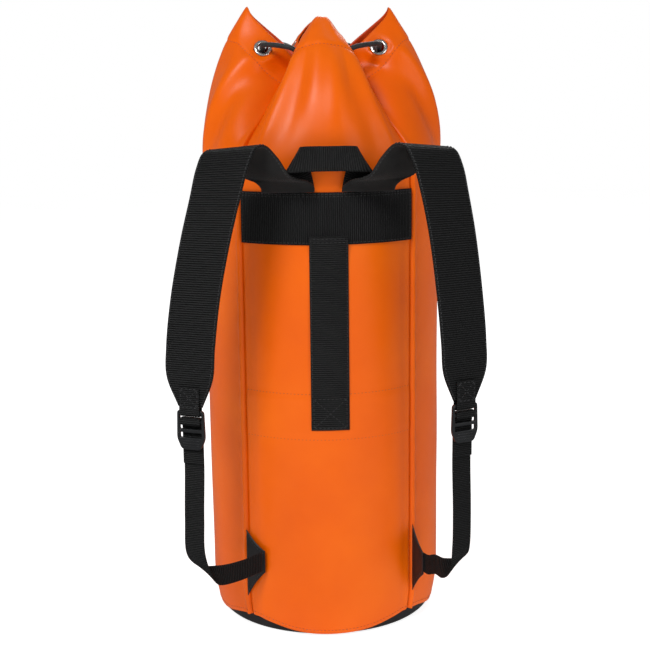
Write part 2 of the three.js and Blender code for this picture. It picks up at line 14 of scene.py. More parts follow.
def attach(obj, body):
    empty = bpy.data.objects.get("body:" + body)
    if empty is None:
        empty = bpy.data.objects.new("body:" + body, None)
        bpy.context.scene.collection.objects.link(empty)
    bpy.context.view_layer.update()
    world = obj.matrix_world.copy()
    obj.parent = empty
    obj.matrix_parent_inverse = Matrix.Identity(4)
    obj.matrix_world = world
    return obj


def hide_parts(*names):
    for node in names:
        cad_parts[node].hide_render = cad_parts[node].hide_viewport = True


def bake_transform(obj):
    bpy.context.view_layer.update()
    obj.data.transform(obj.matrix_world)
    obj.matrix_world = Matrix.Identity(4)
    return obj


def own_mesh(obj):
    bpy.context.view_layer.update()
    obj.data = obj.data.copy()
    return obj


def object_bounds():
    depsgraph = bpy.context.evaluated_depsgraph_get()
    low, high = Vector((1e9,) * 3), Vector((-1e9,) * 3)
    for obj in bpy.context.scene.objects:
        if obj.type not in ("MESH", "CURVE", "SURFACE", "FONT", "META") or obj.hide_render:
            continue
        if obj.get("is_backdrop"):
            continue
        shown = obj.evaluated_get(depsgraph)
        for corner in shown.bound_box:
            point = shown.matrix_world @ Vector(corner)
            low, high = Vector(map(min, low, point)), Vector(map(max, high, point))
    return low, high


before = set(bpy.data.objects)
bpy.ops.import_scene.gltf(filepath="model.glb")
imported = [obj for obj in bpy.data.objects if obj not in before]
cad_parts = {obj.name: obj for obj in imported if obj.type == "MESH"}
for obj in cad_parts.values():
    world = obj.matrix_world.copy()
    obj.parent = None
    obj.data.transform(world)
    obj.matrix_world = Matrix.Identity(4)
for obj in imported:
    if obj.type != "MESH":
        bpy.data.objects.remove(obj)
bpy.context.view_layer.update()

MM = 0.001

# ---- Driving dimensions, as in the CAD source ----
BAG_RADIUS = 145.0
PANEL_HEIGHT = 763.0
GATHER_START = 570.0
BASE_ROUND_HEIGHT = 55.0
BASE_ROUND_DEPTH = 8.0
SEAM_HALF_ANGLE = 43.5
SEAM_RISE = 14.0
BACK = -90.0
VALLEY_DEPTH = 9.0
SEAM_SAG = 0.3
FRONT_SAG = 0.22
SAG_POWER = 0.65
TIP_ROUNDING = 0.12
TIP_POWER = 1.9
VALLEY_POWER = 1.3
LOBE_ROUNDING = 0.3
WALL_MIDDLE = 143.5
CLOTH_THICKNESS = 1.3
CURVE_STEPS = 24
THREAD_LIFT = 0.1
HEM_THICKNESS = 2.2
HEM_STITCH = PANEL_HEIGHT - 46
EVEN_ROWS_START = 60.0  # the wall mesh's rows are even above this, and finer above the next
FINE_ROWS_START = 560.0

# Each lobe: its two valleys, its direction, its tip, its shoulder outwards and to the side, and its two
# valleys' sags.
LOBES = [
    (BACK - SEAM_HALF_ANGLE, BACK + SEAM_HALF_ANGLE, BACK, 68.0, 46.0, 28.0, SEAM_SAG, SEAM_SAG),
    (BACK + SEAM_HALF_ANGLE, 45.0, 0.0, 104.0, 52.0, 30.0, SEAM_SAG, FRONT_SAG),
    (45.0, 135.0, 90.0, 68.0, 46.0, 28.0, FRONT_SAG, FRONT_SAG),
    (135.0, BACK - SEAM_HALF_ANGLE + 360, 180.0, 104.0, 52.0, 30.0, FRONT_SAG, SEAM_SAG),
]

EYELET_HEIGHT = PANEL_HEIGHT - 24
EYELET_HOLE_RADIUS = 6.0
EYELET_BARREL_RADIUS = 7.0
EYELET_FLANGE_RADIUS = 10.5
EYELET_MERGE = 0.02
EYELET_CUT_RADIUS = 8.2  # of the hole in the cloth
EYELET_FLAT_RADIUS = 11.5  # inside it the cloth is flat, and it blends out to the next
EYELET_BLEND_RADIUS = 19.0
FLANGE_SEAT = 1.2

CORD_RADIUS = 3.0
LOCK_DISTANCE = 157.5
LOCK_HEIGHT = 600.0
LOCK_RADIUS = 10.5
BARREL_FLOOR = -19.0  # along the cord lock, from its middle
PLUNGER_FOOT = -9.5
SPRING_RADIUS = 6.0
SPRING_WIRE_RADIUS = 0.6
SPRING_TURNS = 4
CORD_SPACING = 6.8
TAIL_END_HEIGHT = 335.0

BAND_LOW = 480.0
BAND_HIGH = 540.0
BAND_OFFSET = 1.3
STRAP_WIDTH = 60.0
STRAP_THICKNESS = 3.6
ADJUSTER_WIDTH = 25.0
CENTRE_WEB_WIDTH = 45.0
CENTRE_WEB_LOW = 261.0
STRIP_LOW = 249.0
STRIP_HIGH = 304.0
HANDLE_WIDTH = 28.0
WEB = 1.8
THIN_WEB = 1.4
STRAP_RIB = 2.6
WEB_RIB = 2.45
FINE_RIB = 2.2

TAB_LOW = 43.0
TAB_HIGH = 128.0
TAB_THICKNESS = 2.2
TAB_WAIST = 3.0  # how far each long edge curves in

BASE_WALL_RADIUS = 142.6
BASE_WALL_TOP = 36.0

CAMERA_DISTANCE = 1600.0
CAMERA_HEIGHT = 668.0
CAMERA_ASIDE = 3.05
CAMERA_AZIMUTH = -3.3  # degrees, as are the next two
CAMERA_PITCH = 10.93
CAMERA_ROLL = -0.64
CAMERA_LENS = 71.06
SENSOR_WIDTH = 36.0

FLOOR_HALF = 6.0  # metres, as is the next
FLOOR_DROP = 0.0005
FLOOR_GLOW = 0.86
AMBIENT_LIGHT = 0.22
LIGHT_TARGET = (0, 0, 0.4)
# Each light: its place in metres, its size and its power.
LIGHTS = {
    "key": ((-1.1, -1.8, 2.2), 0.7, 38),
    "fill": ((1.6, -2.0, 1.2), 1.2, 11),
    "rear": ((0.5, 1.9, 2.2), 1.5, 30),
}


# ---- Camera ----
def placed(name, data):
    """A new object in the scene that holds the data."""
    obj = bpy.data.objects.new(name, data)
    bpy.context.scene.collection.objects.link(obj)
    return obj


def add_camera():
    turn, pitch, roll = (math.radians(value) for value in (CAMERA_AZIMUTH, CAMERA_PITCH, CAMERA_ROLL))
    toward = Vector((math.sin(turn), -math.cos(turn), 0))
    aside = Vector((math.cos(turn), math.sin(turn), 0))
    data = bpy.data.cameras.new("camera")
    data.sensor_width = SENSOR_WIDTH
    data.lens = CAMERA_LENS
    camera = placed("camera", data)
    place = toward * CAMERA_DISTANCE + Vector((0, 0, CAMERA_HEIGHT)) + aside * CAMERA_ASIDE
    look = -toward * math.cos(pitch) - Vector((0, 0, math.sin(pitch)))
    camera.location = place * MM
    level = look.to_track_quat("-Z", "Y").to_matrix()
    camera.rotation_euler = (level @ Matrix.Rotation(roll, 3, "Z")).to_euler()
    bpy.context.scene.camera = camera


# ---- Points and vectors ----
def unit(vectors):
    vectors = np.asarray(vectors, float)
    return vectors / np.linalg.norm(vectors, axis=-1, keepdims=True)


def smooth(low, high, value):
    t = np.clip((value - low) / (high - low), 0, 1)
    return t * t * (3 - 2 * t)


def bell(value, width):
    return np.exp(-((value / width) ** 2))


def between(first, second, first_at, second_at, t):
    """The value at t on the straight line through two values."""
    return (first * (second_at - t) + second * (t - first_at)) / (second_at - first_at)


def curve_through(points, count):
    """A centripetal Catmull-Rom curve through the points, as evenly spaced points."""
    points = np.asarray(points, float)
    before, after = 2 * points[0] - points[1], 2 * points[-1] - points[-2]
    padded = np.concatenate([[before], points, [after]])
    dense = []
    for i in range(len(points) - 1):
        p = padded[i : i + 4]
        gaps = np.linalg.norm(np.diff(p[:, :3], axis=0), axis=1)
        knots = np.concatenate([[0], np.cumsum(gaps**0.5)])
        for t in np.linspace(knots[1], knots[2], CURVE_STEPS, endpoint=False):
            sides = [between(p[k], p[k + 1], knots[k], knots[k + 1], t) for k in range(3)]
            middle = [between(sides[k], sides[k + 1], knots[k], knots[k + 2], t) for k in range(2)]
            dense.append(between(middle[0], middle[1], knots[1], knots[2], t))
    dense.append(points[-1])
    return evenly(np.array(dense), count)


def along(points):
    """Distance along a line at each of its points."""
    steps = np.linalg.norm(np.diff(points[:, :3], axis=0), axis=1)
    return np.concatenate([[0], np.cumsum(steps)])


def read_at(wanted, reach, values):
    """The values, known at the distances in reach, read at the wanted ones."""
    return np.stack([np.interp(wanted, reach, column) for column in values.T], axis=-1)


def evenly(points, count):
    reach = along(points)
    return read_at(np.linspace(0, reach[-1], count), reach, points)


def stacked(*parts):
    """The parts, spread to one shape, as the last axis of one array."""
    return np.stack(np.broadcast_arrays(*parts), axis=-1)


def apart(angle, other):
    """The angle between two directions, in degrees."""
    return np.abs(np.mod(angle - other + 180, 360) - 180)


def tangents(points):
    return unit(np.gradient(points[:, :3], axis=0))


def frames(points):
    """Tangents, with two directions across the line that turn as little as they can."""
    tangent = tangents(points)
    first = np.cross(tangent[0], [0.0, 0.0, 1.0])
    if np.linalg.norm(first) < 0.1:
        first = np.cross(tangent[0], [1.0, 0.0, 0.0])
    across = [first / np.linalg.norm(first)]
    for t in tangent[1:]:
        kept = across[-1] - t * (across[-1] @ t)
        across.append(kept / np.linalg.norm(kept))
    across = np.array(across)
    return tangent, across, np.cross(tangent, across)


# ---- Meshes ----
def grid_faces(rows, columns, closed=False):
    i, j = np.meshgrid(np.arange(rows - 1), np.arange(columns if closed else columns - 1), indexing="ij")
    following = (j + 1) % columns
    here, above = i * columns, (i + 1) * columns
    faces = np.stack([here + j, here + following, above + following, above + j], axis=-1)
    return faces.reshape(-1, 4)


def capped_faces(rows, sides):
    """The faces of a closed tube of rings."""
    faces = [tuple(f) for f in grid_faces(rows, sides, closed=True)]
    faces.append(tuple(range(sides))[::-1])
    faces.append(tuple((rows - 1) * sides + k for k in range(sides)))
    return faces


def shell(outer, inner, kept=None):
    """A closed sheet between two grids of points. kept marks the grid's faces that stay."""
    rows, columns, _ = outer.shape
    count = rows * columns
    faces = grid_faces(rows, columns)
    if kept is not None:
        faces = faces[kept.ravel()]
    edges = np.concatenate([np.stack([faces[:, k], faces[:, (k + 1) % 4]], axis=1) for k in range(4)])
    rim = edges[~np.isin(edges[:, 0] * count + edges[:, 1], edges[:, 1] * count + edges[:, 0])]
    rim_faces = np.stack([rim[:, 1], rim[:, 0], rim[:, 0] + count, rim[:, 1] + count], axis=1)
    points = np.concatenate([outer.reshape(-1, 3), inner.reshape(-1, 3)])
    return points, np.concatenate([faces, faces[:, ::-1] + count, rim_faces])


def made_outward(mesh, merge=None):
    """Turns the faces outwards, and joins points closer than merge."""
    work = bmesh.new()
    work.from_mesh(mesh)
    if merge is not None:
        bmesh.ops.remove_doubles(work, verts=work.verts, dist=merge * MM)
    bmesh.ops.recalc_face_normals(work, faces=work.faces)
    work.to_mesh(mesh)
    work.free()


def mesh_object(name, points, faces, materials, uv=None, face_material=None, sharp=None):
    faces = [tuple(int(v) for v in f) for f in faces]
    used = sorted({v for f in faces for v in f})
    if len(used) < len(points):
        new_index = {old: new for new, old in enumerate(used)}
        faces = [tuple(new_index[v] for v in f) for f in faces]
        points = points[used]
        uv = None if uv is None else uv[used]
    mesh = bpy.data.meshes.new(name)
    mesh.from_pydata((np.asarray(points) * MM).tolist(), [], faces)
    for material in materials if isinstance(materials, (list, tuple)) else [materials]:
        mesh.materials.append(material)
    if face_material is not None:
        mesh.polygons.foreach_set("material_index", np.asarray(face_material, np.int32))
    if uv is not None:
        corner = np.zeros(len(mesh.loops), np.int32)
        mesh.loops.foreach_get("vertex_index", corner)
        layer = mesh.uv_layers.new(name="UVMap")
        layer.data.foreach_set("uv", (np.asarray(uv)[corner] * MM).astype(np.float32).ravel())
    mesh.polygons.foreach_set("use_smooth", np.ones(len(mesh.polygons), bool))
    if sharp is not None:
        mesh.set_sharp_from_angle(angle=math.radians(sharp))
    obj = placed(name, mesh)
    made_outward(mesh)
    return obj


def joined(parts):
    """Several (points, faces) as one."""
    points, faces, start = [], [], 0
    for p, f in parts:
        points.append(np.asarray(p, float))
        faces.extend(tuple(int(v) + start for v in face) for face in f)
        start += len(p)
    return np.concatenate(points), faces


def finished(obj, body, nodes=()):
    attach(obj, body)
    if nodes:
        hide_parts(*nodes)
    return obj


def tube(points, radius, sides=16, relief=None):
    """A round tube along the points, with rounded ends. relief(turn, distance) adds to its radius."""
    tangent, across, up = frames(points)
    turn = np.linspace(0, 2 * math.pi, sides, endpoint=False)
    distance = along(points)
    size = np.full((len(points), sides), float(radius))
    if relief is not None:
        size += relief(turn[None, :], distance[:, None])
    ring = np.cos(turn)[None, :, None] * across[:, None, :] + np.sin(turn)[None, :, None] * up[:, None, :]
    grid = points[:, None, :] + ring * size[..., None]
    caps = []
    for end, way in ((0, -1), (-1, 1)):
        cap = []
        for a in (0.5, 1.0, 1.35):
            narrowed = ring[end] * size[end][:, None] * math.cos(a)
            cap.append(points[end] + narrowed + way * tangent[end] * radius * 0.6 * math.sin(a))
        caps.append(np.array(cap))
    grid = np.concatenate([caps[0][::-1], grid, caps[1]])
    before = np.zeros(len(grid) - len(points))
    uv = stacked(np.concatenate([before, distance])[:, None], turn[None, :] * radius)
    return grid.reshape(-1, 3), capped_faces(len(grid), sides), uv.reshape(-1, 2)


def lathe(profile, sides, middle=(0, 0, 0), axis=(0, 0, 1)):
    """The outline (radius, height) turned about an axis, closed onto itself where it ends off the axis."""
    profile = np.asarray(profile, float)
    axis = unit(axis)
    helper = np.array([1.0, 0, 0]) if abs(axis[0]) < 0.8 else np.array([0, 1.0, 0])
    first = unit(np.cross(axis, helper))
    second = np.cross(axis, first)
    turn = np.linspace(0, 2 * math.pi, sides, endpoint=False)
    ring = np.cos(turn)[:, None] * first + np.sin(turn)[:, None] * second
    radius, height = profile[:, 0][:, None, None], profile[:, 1][:, None, None]
    grid = np.asarray(middle) + radius * ring[None] + height * axis
    return grid.reshape(-1, 3), [tuple(f) for f in grid_faces(len(profile), sides, closed=True)]


# ---- Stitches ----
def stitch_shapes(line, normals, length=3.1, gap=1.3, radius=0.42):
    """Short arched threads along a line that lies on a surface."""
    reach = along(line)
    count = max(1, int(reach[-1] / (length + gap)))
    centres = (np.arange(count) + 0.5) * reach[-1] / count
    place = read_at(centres, reach, line)
    way = unit(read_at(centres, reach, tangents(line)))
    out = read_at(centres, reach, normals)
    out = unit(out - way * np.sum(out * way, axis=1, keepdims=True))
    side = np.cross(way, out)
    rings, sides = 5, 6
    t = np.linspace(-1, 1, rings)
    turn = np.linspace(0, 2 * math.pi, sides, endpoint=False)
    size = radius * np.sqrt(1 - 0.8 * t**2)
    rise = 0.1 - 0.45 * t**2
    local = stacked(
        (t * length / 2)[:, None],
        size[:, None] * np.cos(turn)[None, :] + rise[:, None],
        size[:, None] * np.sin(turn)[None, :],
    ).reshape(-1, 3)
    points = place[:, None, :]
    for column, direction in enumerate((way, out, side)):
        points = points + local[None, :, column, None] * direction[:, None, :]
    one = capped_faces(rings, sides)
    faces = [tuple(v + rings * sides * k for v in f) for k in range(count) for f in one]
    return points.reshape(-1, 3), faces


def add_stitches(name, rows, body, material):
    """rows holds (line, normals) pairs."""
    points, faces = joined([stitch_shapes(*row) for row in rows])
    return finished(mesh_object(name, points, faces, material), body)


# ---- Materials ----
def linear(code):
    """A colour code such as #F26A12 as linear light."""
    channels = [int(code[i : i + 2], 16) / 255 for i in (1, 3, 5)]
    light = [c / 12.92 if c <= 0.04045 else ((c + 0.055) / 1.055) ** 2.4 for c in channels]
    return (*light, 1.0)


class Finish:
    """A procedural material: a Principled shader with helpers for its textures."""

    def __init__(self, name, roughness, **sockets):
        self.material = bpy.data.materials.new(name)
        self.material.use_nodes = True
        self.tree = self.material.node_tree
        self.shader = self.tree.nodes["Principled BSDF"]
        self.shader.inputs["Roughness"].default_value = roughness
        for socket, value in sockets.items():
            self.shader.inputs[socket.replace("_", " ")].default_value = value
        self.place = self.node("ShaderNodeTexCoord")
        self.bumps = None

    def node(self, kind, **values):
        node = self.tree.nodes.new(kind)
        for key, value in values.items():
            setattr(node, key, value)
        return node

    def link(self, source, target):
        self.tree.links.new(source, target)

    def noise(self, scale, detail=3.0, roughness=0.5, stretch=(1, 1, 1), by="Object"):
        mapping = self.node("ShaderNodeMapping")
        mapping.inputs["Scale"].default_value = stretch
        self.link(self.place.outputs[by], mapping.inputs["Vector"])
        noise = self.node("ShaderNodeTexNoise")
        noise.inputs["Scale"].default_value = scale
        noise.inputs["Detail"].default_value = detail
        noise.inputs["Roughness"].default_value = roughness
        self.link(mapping.outputs["Vector"], noise.inputs["Vector"])
        return noise.outputs["Fac"]

    def wave(self, scale, direction="X", distortion=0.0):
        wave = self.node("ShaderNodeTexWave", wave_type="BANDS", bands_direction=direction)
        wave.inputs["Scale"].default_value = scale
        wave.inputs["Distortion"].default_value = distortion
        self.link(self.place.outputs["UV"], wave.inputs["Vector"])
        return wave.outputs["Fac"]

    def ranged(self, value, low, high, from_low=0.3, from_high=0.7):
        ranged = self.node("ShaderNodeMapRange")
        ranged.inputs["From Min"].default_value = from_low
        ranged.inputs["From Max"].default_value = from_high
        ranged.inputs["To Min"].default_value = low
        ranged.inputs["To Max"].default_value = high
        self.link(value, ranged.inputs["Value"])
        return ranged.outputs["Result"]

    def colour(self, value, stops):
        ramp = self.node("ShaderNodeValToRGB")
        elements = ramp.color_ramp.elements
        while len(elements) < len(stops):
            elements.new(0.5)
        for element, (position, code) in zip(elements, stops):
            element.position = position
            element.color = linear(code)
        self.link(value, ramp.inputs["Fac"])
        self.link(ramp.outputs["Color"], self.shader.inputs["Base Color"])
        return self

    def rough(self, value, low, high):
        self.link(self.ranged(value, low, high), self.shader.inputs["Roughness"])
        return self

    def bump(self, value, depth, strength=1.0):
        """depth is in millimetres."""
        bump = self.node("ShaderNodeBump")
        bump.inputs["Distance"].default_value = depth * MM
        bump.inputs["Strength"].default_value = strength
        self.link(value, bump.inputs["Height"])
        if self.bumps is not None:
            self.link(self.bumps.outputs["Normal"], bump.inputs["Normal"])
        self.bumps = bump
        for link in list(self.shader.inputs["Normal"].links):
            self.tree.links.remove(link)
        self.link(bump.outputs["Normal"], self.shader.inputs["Normal"])
        return self


def orange_tarpaulin():
    finish = Finish("orange_tarpaulin", 0.42, Specular_IOR_Level=0.22)
    finish.colour(finish.noise(7, 4), [(0.3, "#E65C00"), (0.5, "#EC6200"), (0.72, "#F26A02")])
    finish.rough(finish.noise(40, 4), 0.3, 0.4)
    finish.bump(finish.wave(400, "X"), 0.012)
    finish.bump(finish.wave(400, "Y"), 0.012)
    finish.bump(finish.noise(18, 3), 0.35, 0.5)
    finish.bump(finish.noise(1500, 2), 0.05)
    return finish.material


def shaded_orange_inside():
    finish = Finish("shaded_orange_inside", 0.5)
    # Painted shade: the inside is a darker, redder copy of the outside's orange.
    finish.colour(finish.noise(9, 3), [(0.3, "#DC4000"), (0.7, "#E85000")])
    finish.rough(finish.noise(60, 3), 0.45, 0.6)
    finish.bump(finish.wave(300, "X"), 0.04)
    finish.bump(finish.wave(300, "Y"), 0.04)
    return finish.material


def grey_tarpaulin():
    finish = Finish("grey_tarpaulin", 0.5, Coat_Weight=0.08, Coat_Roughness=0.4)
    finish.colour(finish.noise(30, 4), [(0.3, "#120F10"), (0.7, "#1D191A")])
    finish.rough(finish.noise(80, 3), 0.42, 0.6)
    finish.bump(finish.noise(1400, 2), 0.08)
    finish.bump(finish.noise(60, 3), 0.25, 0.5)
    return finish.material


WAVE_PERIOD = 0.31416  # a wave texture's period at scale 1


def webbing_finish(name, rib):
    """Ribbed webbing: its grooves are painted darker than its ribs, as painted shade, and its threads run
    along its length.
    """
    finish = Finish(name, 0.5, Specular_IOR_Level=0.3)
    ribs = finish.wave(WAVE_PERIOD / (rib * MM), "X")
    threads = finish.noise(1600, 3, stretch=(0.3, 1, 1), by="UV")
    groove_shade_and_threads = finish.node("ShaderNodeMath", operation="MULTIPLY")
    finish.link(ribs, groove_shade_and_threads.inputs[0])
    finish.link(finish.ranged(threads, 0.55, 1.15), groove_shade_and_threads.inputs[1])
    # The colour follows the rib wave and is darkest in the grooves: painted shade. The thread noise varies
    # the tone at random.
    stops = [(0.0, "#000000"), (0.35, "#010101"), (0.6, "#0E0F0F"), (1.0, "#242425")]
    finish.colour(groove_shade_and_threads.outputs["Value"], stops)
    finish.rough(finish.noise(500, 3, by="UV"), 0.38, 0.6)
    finish.bump(ribs, 0.45)
    finish.bump(finish.wave(420, "Y", 2.0), 0.09)
    finish.bump(finish.noise(2600, 2, stretch=(0.35, 1, 1), by="UV"), 0.1)
    return finish.material


def lining_finish():
    finish = Finish("strap_lining", 0.7, Sheen_Weight=0.05)
    finish.colour(finish.noise(90, 4), [(0.3, "#080707"), (0.7, "#12100F")])
    finish.bump(finish.wave(520, "X", 1.0), 0.06)
    finish.bump(finish.wave(520, "Y", 1.0), 0.06)
    finish.bump(finish.noise(60, 3), 0.4, 0.5)
    return finish.material


def thread_finish(name, low, high):
    finish = Finish(name, 0.6, Sheen_Weight=0.15)
    finish.colour(finish.noise(300, 2), [(0.3, low), (0.7, high)])
    finish.bump(finish.noise(4000, 2), 0.06)
    return finish.material


def plastic_finish():
    finish = Finish("black_plastic", 0.36)
    finish.colour(finish.noise(60, 3), [(0.3, "#141517"), (0.7, "#1D1E20")])
    finish.rough(finish.noise(150, 3), 0.28, 0.42)
    finish.bump(finish.noise(1800, 2), 0.035)
    return finish.material


def metal_finish(name, low, high, rough_low, rough_high):
    finish = Finish(name, 0.25, Metallic=1.0)
    finish.colour(finish.noise(120, 3), [(0.3, low), (0.7, high)])
    finish.rough(finish.noise(700, 4, stretch=(1, 1, 0.2)), rough_low, rough_high)
    finish.bump(finish.noise(900, 3), 0.02)
    return finish.material


def cord_finish():
    finish = Finish("black_cord", 0.6, Sheen_Weight=0.2, Sheen_Roughness=0.4)
    finish.colour(finish.noise(200, 3), [(0.3, "#121314"), (0.7, "#26282A")])
    finish.bump(finish.noise(3500, 2, stretch=(0.3, 1, 1), by="UV"), 0.08)
    return finish.material


# ---- The bag's wall ----
def base_inset(height):
    below = np.clip(1 - height / BASE_ROUND_HEIGHT, 0, None)
    return BASE_ROUND_DEPTH * below**2


def two_runs(first, middle, last, t):
    return np.where(t < 0.5, first + (middle - first) * 2 * t, middle + (last - middle) * (2 * t - 1))


def lobe_value(which, column):
    return np.array([lobe[column] for lobe in LOBES])[which]


def lobe_at(angle):
    """Which lobe each angle lies in, and how far across it: 0 at its middle, -1 and 1 at its valleys."""
    start = LOBES[0][0]
    turned = start + np.mod(np.asarray(angle, float) - start, 360)
    which = np.searchsorted([high for _, high, *_ in LOBES], turned).clip(0, len(LOBES) - 1)
    low, high = (lobe_value(which, k) for k in (0, 1))
    half = (high - low) / 2
    return which, (turned - low - half) / half


def hem_point(angle):
    """Where the hem lies seen from above, with each lobe's corners rounded by averaging along it."""
    which, across = lobe_at(angle)
    direction, tip, shoulder_out, shoulder_side = (lobe_value(which, k) for k in (2, 3, 4, 5))
    reach = LOBE_ROUNDING * (1 - np.abs(across)) * 1.15
    out, side = 0.0, 0.0
    offsets = np.linspace(-1, 1, 9)
    for offset in offsets:
        t = across + reach * offset
        out = out + two_runs(tip, shoulder_out, VALLEY_DEPTH, np.abs(t)) / len(offsets)
        side = side + two_runs(0, shoulder_side, VALLEY_DEPTH, np.abs(t)) * np.sign(t) / len(offsets)
    turn = np.radians(direction)
    return out * np.cos(turn) - side * np.sin(turn), out * np.sin(turn) + side * np.cos(turn)


def cloth_points(angle, distance, radius=WALL_MIDDLE):
    """Points on the cloth at distances up it and angles round it."""
    angle, distance = np.broadcast_arrays(np.asarray(angle, float), np.asarray(distance, float))
    foot_x, foot_y = radius * np.cos(np.radians(angle)), radius * np.sin(np.radians(angle))
    inset = 1 - base_inset(distance) / BAG_RADIUS
    hem_x, hem_y = hem_point(angle)
    which, across = lobe_at(angle)
    power = TIP_POWER + (VALLEY_POWER - TIP_POWER) * np.abs(across) ** 2.5
    span = PANEL_HEIGHT - GATHER_START
    up = np.clip(distance - GATHER_START, 0, None)
    lean = np.hypot(foot_x - hem_x, foot_y - hem_y)
    steps = 24
    rise = np.zeros_like(angle)
    step = up / steps
    for i in range(steps):
        leaned = lean * ((up * (i + 1) / steps / span) ** power - (up * i / steps / span) ** power)
        rise += np.sqrt(np.maximum(step**2 - leaned**2, 0.04 * step**2))
    share = (up / span) ** power
    # The cloth keeps its height as far from the lobe's middle as level, and past it sags to the valley.
    level = np.clip(0.08 + 0.9 * (1 - up / span), 0.08, 0.34)
    past = np.sqrt(np.clip(np.abs(across) - level, 0, None) ** 2 + TIP_ROUNDING**2) - TIP_ROUNDING
    sag = np.where(across < 0, lobe_value(which, 6), lobe_value(which, 7))
    kept = 1 - sag * (np.clip(past, 0, None) / (1 - level)) ** SAG_POWER
    x = foot_x * inset * (1 - share) + hem_x * share
    y = foot_y * inset * (1 - share) + hem_y * share
    return np.stack([x, y, np.where(up > 0, GATHER_START + kept * rise, distance)], axis=-1)


def cloth_normals(angle, distance):
    around = cloth_points(angle + 1.0, distance) - cloth_points(angle - 1.0, distance)
    up = cloth_points(angle, distance + 3) - cloth_points(angle, distance - 3)
    return unit(np.cross(around, up))


def lower_edge(angle):
    """How high the orange cloth's lower edge is: it rises towards each seam."""
    return 3 + SEAM_RISE * bell(apart(angle, BACK) - SEAM_HALF_ANGLE, 20)


def from_seam(angle):
    """Distance round the bag from the nearest seam, positive on the wrap panel's side."""
    return np.radians(apart(angle, BACK) - SEAM_HALF_ANGLE) * BAG_RADIUS


def soft_waves(angle, distance):
    """Slow uneven swells of the whole cloth, about 1 mm either way at full size."""
    turn = np.radians(angle)
    return (
        0.45 * np.sin(3 * turn + distance / 71 + 0.6)
        + 0.35 * np.sin(5 * turn - distance / 47 + 2.1)
        + 0.25 * np.sin(9 * turn + distance / 39 + 4.0)
        + 0.15 * np.sin(14 * turn - distance / 23 + 1.3)
    )


def gather_folds(angle, distance):
    """The folds that run down from the gathered mouth, on each lobe."""
    which, across = lobe_at(angle)
    up = (distance - GATHER_START) / (PANEL_HEIGHT - GATHER_START)
    size = np.abs(across)
    window = smooth(-0.12, 0.25, up) * (1 - smooth(0.82, 1.0, up))
    on_face = np.isin(which, (0, 2))
    # On the face lobes two ridges spread from the tip. On the side lobes they close in on the lobe's middle.
    spreading = 0.8 - 0.5 * np.clip(up, 0, 1.2)
    closing = 0.14 + 0.42 * np.clip(up, -0.2, 1.2) + 0.05 * np.sign(across)
    line = np.where(on_face, spreading, closing)
    ridge = np.where(on_face, 4.2, 3.4) * bell(size - line, 0.085)
    hollow = np.where(on_face, -2.6 * bell(size - line + 0.22, 0.13), -4.6 * bell(size - line - 0.2, 0.13))
    extra = 1.7 * np.sin(8 * across + 2.2 * which + 2.5 * up) * smooth(-0.3, 0.3, up)
    extra = extra * (1 - smooth(0.75, 1.0, up))
    small = 0.7 * np.sin(19 * across - 3 * up + which) * smooth(0.1, 0.5, up)
    small = small * (1 - smooth(0.7, 0.95, up))
    return (ridge + hollow) * window + (extra + small) * (1 - size**4)


def relief(angle, distance):
    """How far the cloth's outer surface stands off the smooth wall."""
    seam = from_seam(angle)
    low_down = 1 - smooth(585, 640, distance)
    rolled = np.where(
        seam >= 0,
        2.6 * bell(seam - 4.4, 3.0) - 3.2 * bell(seam, 1.3),
        -2.2 * bell(seam, 2.6),
    )
    bulk = -0.9 * bell(seam + 11, 6) * np.where(seam < 0, 1, 0)
    size = rolled * (0.25 + 0.75 * low_down) + bulk * low_down
    on_back = (seam < -3).astype(float)
    for line in (STRIP_LOW, STRIP_HIGH):
        size = size - 0.7 * bell(distance - line, 2.2) * on_back
    size = size + 0.5 * smooth(STRIP_LOW - 2, STRIP_LOW + 3, distance) * (
        1 - smooth(STRIP_HIGH - 3, STRIP_HIGH + 2, distance)) * on_back
    size = size + 0.7 * smooth(HEM_STITCH - 1, HEM_STITCH + 4, distance)
    size = size - 0.6 * bell(distance - HEM_STITCH, 2.0)
    under_band = on_back * smooth(BAND_LOW - 10, BAND_LOW + 2, distance)
    under_band = under_band * (1 - smooth(BAND_HIGH - 2, BAND_HIGH + 10, distance))
    calm = smooth(4, 30, np.abs(seam)) * (1 - 0.85 * under_band)
    size = size + soft_waves(angle, distance) * calm * (0.8 + 0.8 * smooth(520, 640, distance))
    size = size + gather_folds(angle, distance) * smooth(0, 14, np.abs(seam))
    puckers = 0.35 * np.sin(distance * 2 * math.pi / 31) * bell(seam - 7, 7) * low_down
    return size + puckers


def surface(angle, distance):
    """The cloth's outer surface and its outward directions."""
    outwards = cloth_normals(angle, distance)
    stand_off = BAG_RADIUS - WALL_MIDDLE + relief(angle, distance)
    return cloth_points(angle, distance) + outwards * stand_off[..., None], outwards


def surface_line(angles, distances):
    points, outwards = surface(angles, distances)
    return points + outwards * THREAD_LIFT, outwards


EYELETS = []
for low, high, *_ in LOBES:
    for share in (0.25, 0.75):
        turned = low + (high - low) * share
        EYELETS.append((turned, cloth_points(turned, EYELET_HEIGHT), cloth_normals(turned, EYELET_HEIGHT)))


def round_eyelets(points, angle, distance, seat):
    """Flattens the cloth round each eyelet, and marks the points inside its hole."""
    inside = np.zeros(points.shape[:2], bool)
    for turned, middle, outwards in EYELETS:
        near = (apart(angle, turned) < 14) & (np.abs(distance - EYELET_HEIGHT) < 26)
        gap = points - middle
        height = gap @ outwards
        across = np.linalg.norm(gap - height[..., None] * outwards, axis=-1)
        weight = np.where(near, 1 - smooth(EYELET_FLAT_RADIUS, EYELET_BLEND_RADIUS, across), 0)
        points = points + outwards * (weight * (seat - height))[..., None]
        inside |= near & (across < EYELET_CUT_RADIUS)
    return points, inside


